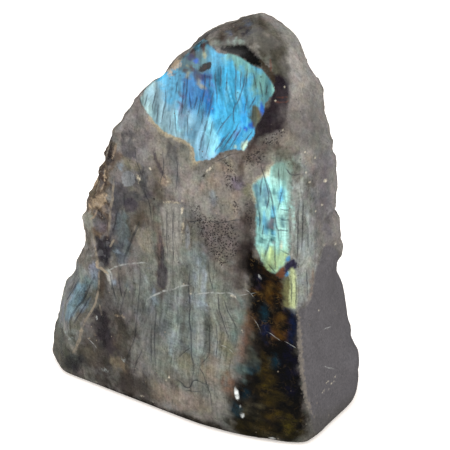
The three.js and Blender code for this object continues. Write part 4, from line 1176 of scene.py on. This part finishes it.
finish = bpy.data.materials.new("polished_labradorite")
finish.use_nodes = True
tree = finish.node_tree
tree.nodes.clear()


def add(where, kind, links=(), **settings):
    """Adds a node, sets what is named and joins its inputs, given as (input, output or value)."""
    node = where.nodes.new(kind)
    for key, value in settings.items():
        setattr(node, key, value)
    for socket, source in links:
        if isinstance(source, bpy.types.NodeSocket):
            where.links.new(source, node.inputs[socket])
        else:
            node.inputs[socket].default_value = source
    return node


def maths(where, operation, *sources):
    """One Math node; the sources are sockets or numbers."""
    node = add(where, "ShaderNodeMath", list(enumerate(sources)), operation=operation)
    return node.outputs[0]


def smooth_step(where, value, low, high, start=0.0, end=1.0):
    """Start below low, end above high, and smooth between them."""
    ends = [("From Min", low), ("From Max", high), ("To Min", start), ("To Max", end)]
    links = [("Value", value), *ends]
    return add(where, "ShaderNodeMapRange", links, interpolation_type="SMOOTHSTEP").outputs[0]


def mixed(where, factor, under, over, kind="MIX"):
    """One colour over another, by a Mix node, whose sockets 6 and 7 take the colours."""
    links = [(0, factor), (6, under), (7, over)]
    return add(where, "ShaderNodeMix", links, data_type="RGBA", blend_type=kind).outputs[2]


def scaled(colour, by):
    """A colour or a place, multiplied by one value."""
    links = [(0, colour), ("Scale", by)]
    return add(tree, "ShaderNodeVectorMath", links, operation="SCALE").outputs[0]


def between(factor, low, high):
    """One value where the factor is 0, another where it is 1."""
    links = [(0, factor), (2, low), (3, high)]
    return add(tree, "ShaderNodeMix", links, data_type="FLOAT").outputs[0]


def weighed(value, weight, onto):
    """A value times its weight, added to another."""
    return maths(tree, "MULTIPLY_ADD", value, weight, onto)


def product(*factors):
    """All the factors multiplied."""
    total = factors[0]
    for factor in factors[1:]:
        total = maths(tree, "MULTIPLY", total, factor)
    return total


def group(name, inputs, outputs):
    """An empty node group with named sockets, and its two ends."""
    made = bpy.data.node_groups.new(name, "ShaderNodeTree")
    for label, kind in inputs:
        made.interface.new_socket(label, in_out="INPUT", socket_type=kind)
    for label, kind in outputs:
        made.interface.new_socket(label, in_out="OUTPUT", socket_type=kind)
    return made, made.nodes.new("NodeGroupInput"), made.nodes.new("NodeGroupOutput")


FLOAT, COLOR, VECTOR = "NodeSocketFloat", "NodeSocketColor", "NodeSocketVector"

# One crisp mark: its edge lies where its depth is 0, made ragged by noise.
marking, taken, given = group(
    "marking",
    [("Under", COLOR), ("Colour", COLOR), ("Depth", FLOAT),
     ("Ragged", FLOAT), ("Strength", FLOAT), ("Rag", FLOAT)],
    [("Colour", COLOR)],
)
edge = maths(marking, "MULTIPLY_ADD", *[taken.outputs[name] for name in ("Rag", "Ragged", "Depth")])
mask = maths(marking, "MULTIPLY", smooth_step(marking, edge, -1, 1), taken.outputs["Strength"])
marked = mixed(marking, mask, taken.outputs["Under"], taken.outputs["Colour"])
marking.links.new(marked, given.inputs["Colour"])

# One set of lines: each is full out to its half width, fades over the edge, and wavers a little.
line_drawn, taken, given = group(
    "line",
    [("Line", VECTOR), ("Waver", FLOAT), ("Edge", FLOAT)],
    [("Mask", FLOAT)],
)
parts = add(line_drawn, "ShaderNodeSeparateXYZ", [("Vector", taken.outputs["Line"])])
offset, strength, half_width = parts.outputs
offset = maths(line_drawn, "ADD", offset, taken.outputs["Waver"])
offset = maths(line_drawn, "ABSOLUTE", offset)
half = maths(line_drawn, "MULTIPLY", half_width, strength)
outer = maths(line_drawn, "ADD", half, taken.outputs["Edge"])
drawn = smooth_step(line_drawn, offset, half, outer, 1.0, 0.0)
line_drawn.links.new(maths(line_drawn, "MULTIPLY", drawn, strength), given.inputs["Mask"])

object_place = add(tree, "ShaderNodeTexCoord").outputs["Object"]
to_mm = [(0, object_place), (1, [1 / MM] * 3)]
in_mm = add(tree, "ShaderNodeVectorMath", to_mm, operation="MULTIPLY").outputs[0]
up = add(tree, "ShaderNodeSeparateXYZ", [("Vector", in_mm)]).outputs["Z"]


def reads(name, output="Fac"):
    """An attribute of the stone's mesh."""
    return add(tree, "ShaderNodeAttribute", attribute_name=name).outputs[output]


def noise(size, detail=3.0, rough=0.5, where=None):
    """Noise of about the size given in mm, -0.5 to 0.5."""
    looks = [("Scale", 1 / size), ("Detail", detail), ("Roughness", rough)]
    made = add(tree, "ShaderNodeTexNoise", [("Vector", where or in_mm), *looks])
    return maths(tree, "SUBTRACT", made.outputs["Fac"], 0.5)


fibre_across = reads("across_fibres")
slow_wave = noise(26, 2)
quick_wave = noise(7, 2)
fibre_wavy = weighed(slow_wave, 3.5, weighed(quick_wave, 0.8, fibre_across))


def fibres(wide, tall, detail=3.0):
    """Noise drawn out along the fibres: wide and tall in mm."""
    links = [("X", maths(tree, "DIVIDE", fibre_wavy, wide)), ("Y", maths(tree, "DIVIDE", up, tall))]
    return noise(1, detail, 0.55, add(tree, "ShaderNodeCombineXYZ", links).outputs[0])


grain = noise(1.0, 4, 0.7)
rag = noise(2.6, 4, 0.62)
mottle = noise(7, 4, 0.6)
blotch = noise(22, 3, 0.55)
fine_fibre = fibres(1.3, 13)
broad_fibre = fibres(3.4, 30)
rag_fine = weighed(noise(1.3, 3, 0.6), 1.8, product(rag, 1.3))

# Dark seams run down between the fibres, with a lit line beside some of them.
lined = reads("lined")
seam_a = fibres(5.2, 44, 2)
seam_b = fibres(2.3, 20, 2)
dark_a = smooth_step(tree, maths(tree, "ABSOLUTE", seam_a), 0.002, 0.018, 1.0, 0.0)
dark_b = smooth_step(tree, maths(tree, "ABSOLUTE", seam_b), 0.002, 0.026, 1.0, 0.0)
dark_b = product(dark_b, smooth_step(tree, mottle, 0.02, 0.16), 0.6)
fibre_seams = maths(tree, "MAXIMUM", dark_a, dark_b)
fibre_seams = product(fibre_seams, lined, smooth_step(tree, rag, -0.2, 0.08, 0.3, 1.0))
lit_from = smooth_step(tree, seam_a, 0.02, 0.05)
lit_to = smooth_step(tree, seam_a, 0.05, 0.13, 1.0, 0.0)
lit = product(lit_from, lit_to, lined)
lit = product(lit, smooth_step(tree, mottle, -0.05, 0.12))

# Elsewhere it broke in shards, with a web of hair cracks.
shard_across = maths(tree, "DIVIDE", weighed(mottle, 9.0, fibre_across), 5.5)
shard_up = maths(tree, "DIVIDE", weighed(rag, 10.0, up), 14)
shard_place = add(tree, "ShaderNodeCombineXYZ", [("X", shard_across), ("Y", shard_up)]).outputs[0]
cell_links = [("Vector", shard_place), ("Scale", 1.0)]
shard_cells = add(tree, "ShaderNodeTexVoronoi", cell_links, voronoi_dimensions="2D")
shard_tone = add(tree, "ShaderNodeSeparateColor", [("Color", shard_cells.outputs["Color"])])
shard = maths(tree, "SUBTRACT", shard_tone.outputs[0], 0.5)
hair = smooth_step(tree, maths(tree, "ABSOLUTE", noise(6.5, 3, 0.65)), 0.0, 0.02, 1.0, 0.0)
threads = product(hair, reads("webbed"), smooth_step(tree, mottle, -0.1, 0.12))
web = product(hair, reads("crackled"), smooth_step(tree, rag, -0.12, 0.1))
rung = product(fibres(7, 0.8, 2), reads("rungs"))


def laid(colour, marks):
    """Crisp marks over a colour."""
    for name, tint, ragged_by, strength in marks:
        step = add(tree, "ShaderNodeGroup", node_tree=marking)
        tree.links.new(colour, step.inputs["Under"])
        tree.links.new(reads(name), step.inputs["Depth"])
        tree.links.new(rag_fine, step.inputs["Rag"])
        step.inputs["Colour"].default_value = tint
        step.inputs["Ragged"].default_value = ragged_by
        step.inputs["Strength"].default_value = strength
        colour = step.outputs["Colour"]
    return colour


colour = laid(reads("body_colour", "Color"), crisp_marks[:RIMS])
in_blue = smooth_step(tree, weighed(rag_fine, 1.2, reads("blue_edge")), -1, 1)
in_green = smooth_step(tree, weighed(rag_fine, 0.6, reads("green_edge")), -1, 1)
in_flash = maths(tree, "MAXIMUM", in_blue, in_green)
colour = mixed(tree, in_flash, colour, reads("flash_colour", "Color"))
colour = laid(colour, crisp_marks[RIMS:])

ground_mask = reads("ground")
broken_mask = reads("broken")
matte = maths(tree, "MAXIMUM", ground_mask, broken_mask)
polished = maths(tree, "SUBTRACT", 1.0, matte)

# Fibres and grain shade everything on the polished side a little.
fibre_weight = weighed(in_flash, 0.5, weighed(lined, 0.7, 0.35))
shade = weighed(maths(tree, "ADD", fine_fibre, broad_fibre), fibre_weight, 1.05)
cloudy = weighed(mottle, 0.7, product(grain, 1.6))
cloudy = weighed(rag, 0.6, cloudy)
shade = weighed(cloudy, weighed(in_flash, -0.6, 1.0), shade)
shade = weighed(lit, 0.3, shade)
shade = weighed(rung, 1.0, shade)
shade = weighed(shard, weighed(reads("chunky"), 0.35, 0.2), shade)
shade = weighed(fibre_seams, -0.28, shade)
shade = weighed(web, -0.32, shade)
even = weighed(grain, 1.5, weighed(mottle, 0.35, 1.0))
colour = scaled(colour, between(polished, even, shade))
waver = product(noise(3, 2), 0.7)


def lines(names, edge):
    """The strongest of several sets of lines; edge is how far their soft edges reach, in mm."""
    drawn = None
    for name in names:
        step = add(tree, "ShaderNodeGroup", node_tree=line_drawn)
        tree.links.new(reads(name, "Vector"), step.inputs["Line"])
        tree.links.new(waver, step.inputs["Waver"])
        step.inputs["Edge"].default_value = edge
        mask = step.outputs["Mask"]
        drawn = mask if drawn is None else maths(tree, "MAXIMUM", drawn, mask)
    return drawn


# Dark cracks, pale veins and tan seams, broken up along their course, and the strip's threads.
cracks_drawn = product(lines(dark_lines, 0.28), smooth_step(tree, rag, -0.16, 0.1, 0.6, 1.0))
colour = mixed(tree, product(cracks_drawn, 0.85), colour, (0.24, 0.26, 0.30, 1), "MULTIPLY")
veins_drawn = product(lines(pale_lines, 0.2), smooth_step(tree, rag, -0.14, 0.14, 0.05, 0.7))
colour = mixed(tree, veins_drawn, colour, seen(196, 200, 196))
seams_drawn = product(lines(tan_lines, 0.25), smooth_step(tree, rag, -0.16, 0.12, 0.15, 0.85))
colour = mixed(tree, seams_drawn, colour, seen(160, 149, 132))
colour = mixed(tree, product(threads, 0.6), colour, seen(112, 90, 54))

# Pits: dark, small and crowded where the polish broke up.
cells = add(tree, "ShaderNodeTexVoronoi", [("Vector", in_mm), ("Scale", 1.1)])
pit_depth = weighed(grain, 0.8, cells.outputs["Distance"])
pit = smooth_step(tree, pit_depth, 0.28, 0.5, 1.0, 0.0)
pit = product(pit, smooth_step(tree, weighed(rag, 6.0, reads("pitted")), -0.8, 1.0))
colour = mixed(tree, product(pit, 0.8), colour, seen(52, 42, 42))

# The broken back: dull grey-brown rock in small cleaved grains, with dark hollows and hair cracks.
rock = mixed(tree, smooth_step(tree, blotch, -0.16, 0.16), seen(88, 86, 85), seen(120, 113, 105))
rock = mixed(tree, smooth_step(tree, mottle, 0.0, 0.2, 0, 0.55), rock, seen(144, 135, 121))
rock = mixed(tree, smooth_step(tree, rag, 0.04, 0.2, 0, 0.4), rock, seen(66, 64, 66))
rock = mixed(tree, smooth_step(tree, grain, 0.02, 0.2, 0, 0.5), rock, seen(70, 69, 70))
bends = [("X", product(mottle, 6.0)), ("Y", product(rag, 5.0)), ("Z", product(mottle, -4.0))]
bends = [(0, in_mm), (1, add(tree, "ShaderNodeCombineXYZ", bends).outputs[0])]
bent = add(tree, "ShaderNodeVectorMath", bends, operation="ADD").outputs[0]
grains = add(tree, "ShaderNodeTexVoronoi", [("Vector", bent), ("Scale", 0.2)])
grain_tone = add(tree, "ShaderNodeSeparateColor", [("Color", grains.outputs["Color"])]).outputs[0]
grain_tone = weighed(grain_tone, 0.5, 0.78)
hair_cracks = product(hair, smooth_step(tree, mottle, -0.1, 0.1))
grain_tone = weighed(hair_cracks, -0.35, grain_tone)
colour = mixed(tree, broken_mask, colour, scaled(rock, grain_tone))

# Specks, pale and dark, scattered over all the faces.
dust = add(tree, "ShaderNodeTexVoronoi", [("Vector", in_mm), ("Scale", 1 / 3.1)])
speck = smooth_step(tree, dust.outputs["Distance"], 0.08, 0.15, 1.0, 0.0)
chosen = add(tree, "ShaderNodeSeparateColor", [("Color", dust.outputs["Color"])])
pale_speck = product(speck, smooth_step(tree, chosen.outputs[0], 0.84, 0.9), 0.45)
dark_speck = product(speck, smooth_step(tree, chosen.outputs[1], 0.7, 0.8), 0.55)
colour = mixed(tree, pale_speck, colour, seen(188, 174, 152))
colour = mixed(tree, dark_speck, colour, seen(52, 48, 46))

# How rough each face is, and the fine relief that the light catches.
rough_value = between(ground_mask, POLISHED_ROUGH, GROUND_ROUGH)
rough_value = between(broken_mask, rough_value, BROKEN_ROUGH)
rough_value = weighed(maths(tree, "MAXIMUM", pit, cracks_drawn), 0.3, rough_value)
rough_value = weighed(grain, 0.12, rough_value)

lift = product(grain, weighed(matte, 0.22, 0.015))
lift = weighed(pit, -0.25, lift)
lift = weighed(cracks_drawn, -0.10, lift)
lift = weighed(mottle, 0.06, lift)
bump = add(tree, "ShaderNodeBump", [("Strength", 0.8), ("Distance", MM), ("Height", lift)])

polish = [("Roughness", rough_value), ("IOR", FELDSPAR_IOR), ("Normal", bump.outputs[0])]
shader = add(tree, "ShaderNodeBsdfPrincipled", [("Base Color", colour), *polish])
add(tree, "ShaderNodeOutputMaterial", [("Surface", shader.outputs[0])])
stone.data.materials.append(finish)

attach(stone, "root")
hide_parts("labradorite_stone")

# ---- Floor, light and camera -----------------------------------------------------------------
# A pale floor, large soft lights at the front left, right and above, and the view from the
# front right corner, a little above the stone.

FLOOR_REACH = 6  # m
STONE_MIDDLE = 0.09  # m above the floor, where the lights look
CAMERA_PLACE = (0.1770, -0.2977, 0.2150)
CAMERA_TILT = math.radians(69)  # up from straight down
CAMERA_LENS = 62.8  # mm


def by_ray(where, ray, other, shown):
    """One shader for the rays of one kind, and another for all the rest."""
    links = [(0, ray), (1, other.outputs[0]), (2, shown.outputs[0])]
    return add(where, "ShaderNodeMixShader", links)


bpy.ops.object.select_all(action="DESELECT")
bpy.ops.mesh.primitive_circle_add(vertices=96, radius=FLOOR_REACH, fill_type="NGON")
floor = bpy.context.object
floor.name = "floor"
paper = bpy.data.materials.new("pale_floor")
paper.use_nodes = True
paper_tree = paper.node_tree
paper_shader = paper_tree.nodes["Principled BSDF"]
paper_shader.inputs["Base Color"].default_value = (0.95, 0.90, 0.86, 1)
paper_shader.inputs["Roughness"].default_value = 0.9
paper_shader.inputs["Specular IOR Level"].default_value = 0.1
paper_path = add(paper_tree, "ShaderNodeLightPath")
paper_dim = add(paper_tree, "ShaderNodeBsdfDiffuse", [("Color", (0.08, 0.08, 0.08, 1))])
paper_glow = add(paper_tree, "ShaderNodeEmission", [("Color", (1.0, 0.94, 0.88, 1)), ("Strength", 0.38)])
paper_lit = [(0, paper_shader.outputs[0]), (1, paper_glow.outputs[0])]
paper_lit = add(paper_tree, "ShaderNodeAddShader", paper_lit)
paper_seen = by_ray(paper_tree, paper_path.outputs["Is Camera Ray"], paper_shader, paper_lit)
paper_mix = by_ray(paper_tree, paper_path.outputs["Is Glossy Ray"], paper_seen, paper_dim)
paper_tree.links.new(paper_mix.outputs[0], paper_tree.nodes["Material Output"].inputs["Surface"])
floor.data.materials.append(paper)

scene = bpy.context.scene
world = bpy.data.worlds.new("soft_room")
scene.world = world
world.use_nodes = True
room = world.node_tree
room.nodes.clear()
path = add(room, "ShaderNodeLightPath")
dim, soft_fill, bright = [
    add(room, "ShaderNodeBackground", [("Color", (1, 1, 1, 1)), ("Strength", strength)])
    for strength in (0.05, 1.0, 1.2)
]
inner = by_ray(room, path.outputs["Is Glossy Ray"], soft_fill, dim)
whole = by_ray(room, path.outputs["Is Camera Ray"], inner, bright)
add(room, "ShaderNodeOutputWorld", [("Surface", whole.outputs[0])])


def softbox(name, turn, rise, distance, wide, tall, power):
    """A large light that looks at the stone's middle. It stands turned from the front and raised,
    in degrees, at a distance in m; wide and tall are in m and power is in W."""
    light = bpy.data.lights.new(name, "AREA")
    light.shape = "RECTANGLE"
    light.size = wide
    light.size_y = tall
    light.energy = power
    holder = bpy.data.objects.new(name, light)
    scene.collection.objects.link(holder)
    turn = math.radians(turn)
    rise = math.radians(rise)
    level = distance * math.cos(rise)
    above = STONE_MIDDLE + distance * math.sin(rise)
    holder.location = (level * math.sin(turn), -level * math.cos(turn), above)
    holder.rotation_euler = (math.pi / 2 - rise, 0, turn)


softbox("light_front_left", -50, 28, 1.1, 1.0, 0.9, 3.2)
softbox("light_right", 100, 25, 1.1, 0.9, 0.9, 2.4)
softbox("light_above", 0, 88, 1.2, 1.2, 1.2, 4.5)

camera_data = bpy.data.cameras.new("camera")
camera_data.sensor_width = 36
camera_data.lens = CAMERA_LENS
camera_data.clip_start = 0.01
camera = bpy.data.objects.new("camera", camera_data)
scene.collection.objects.link(camera)
camera.location = CAMERA_PLACE
camera.rotation_euler = (CAMERA_TILT, 0, FRONT_TURN)
scene.camera = camera
scene.view_settings.view_transform = "Standard"
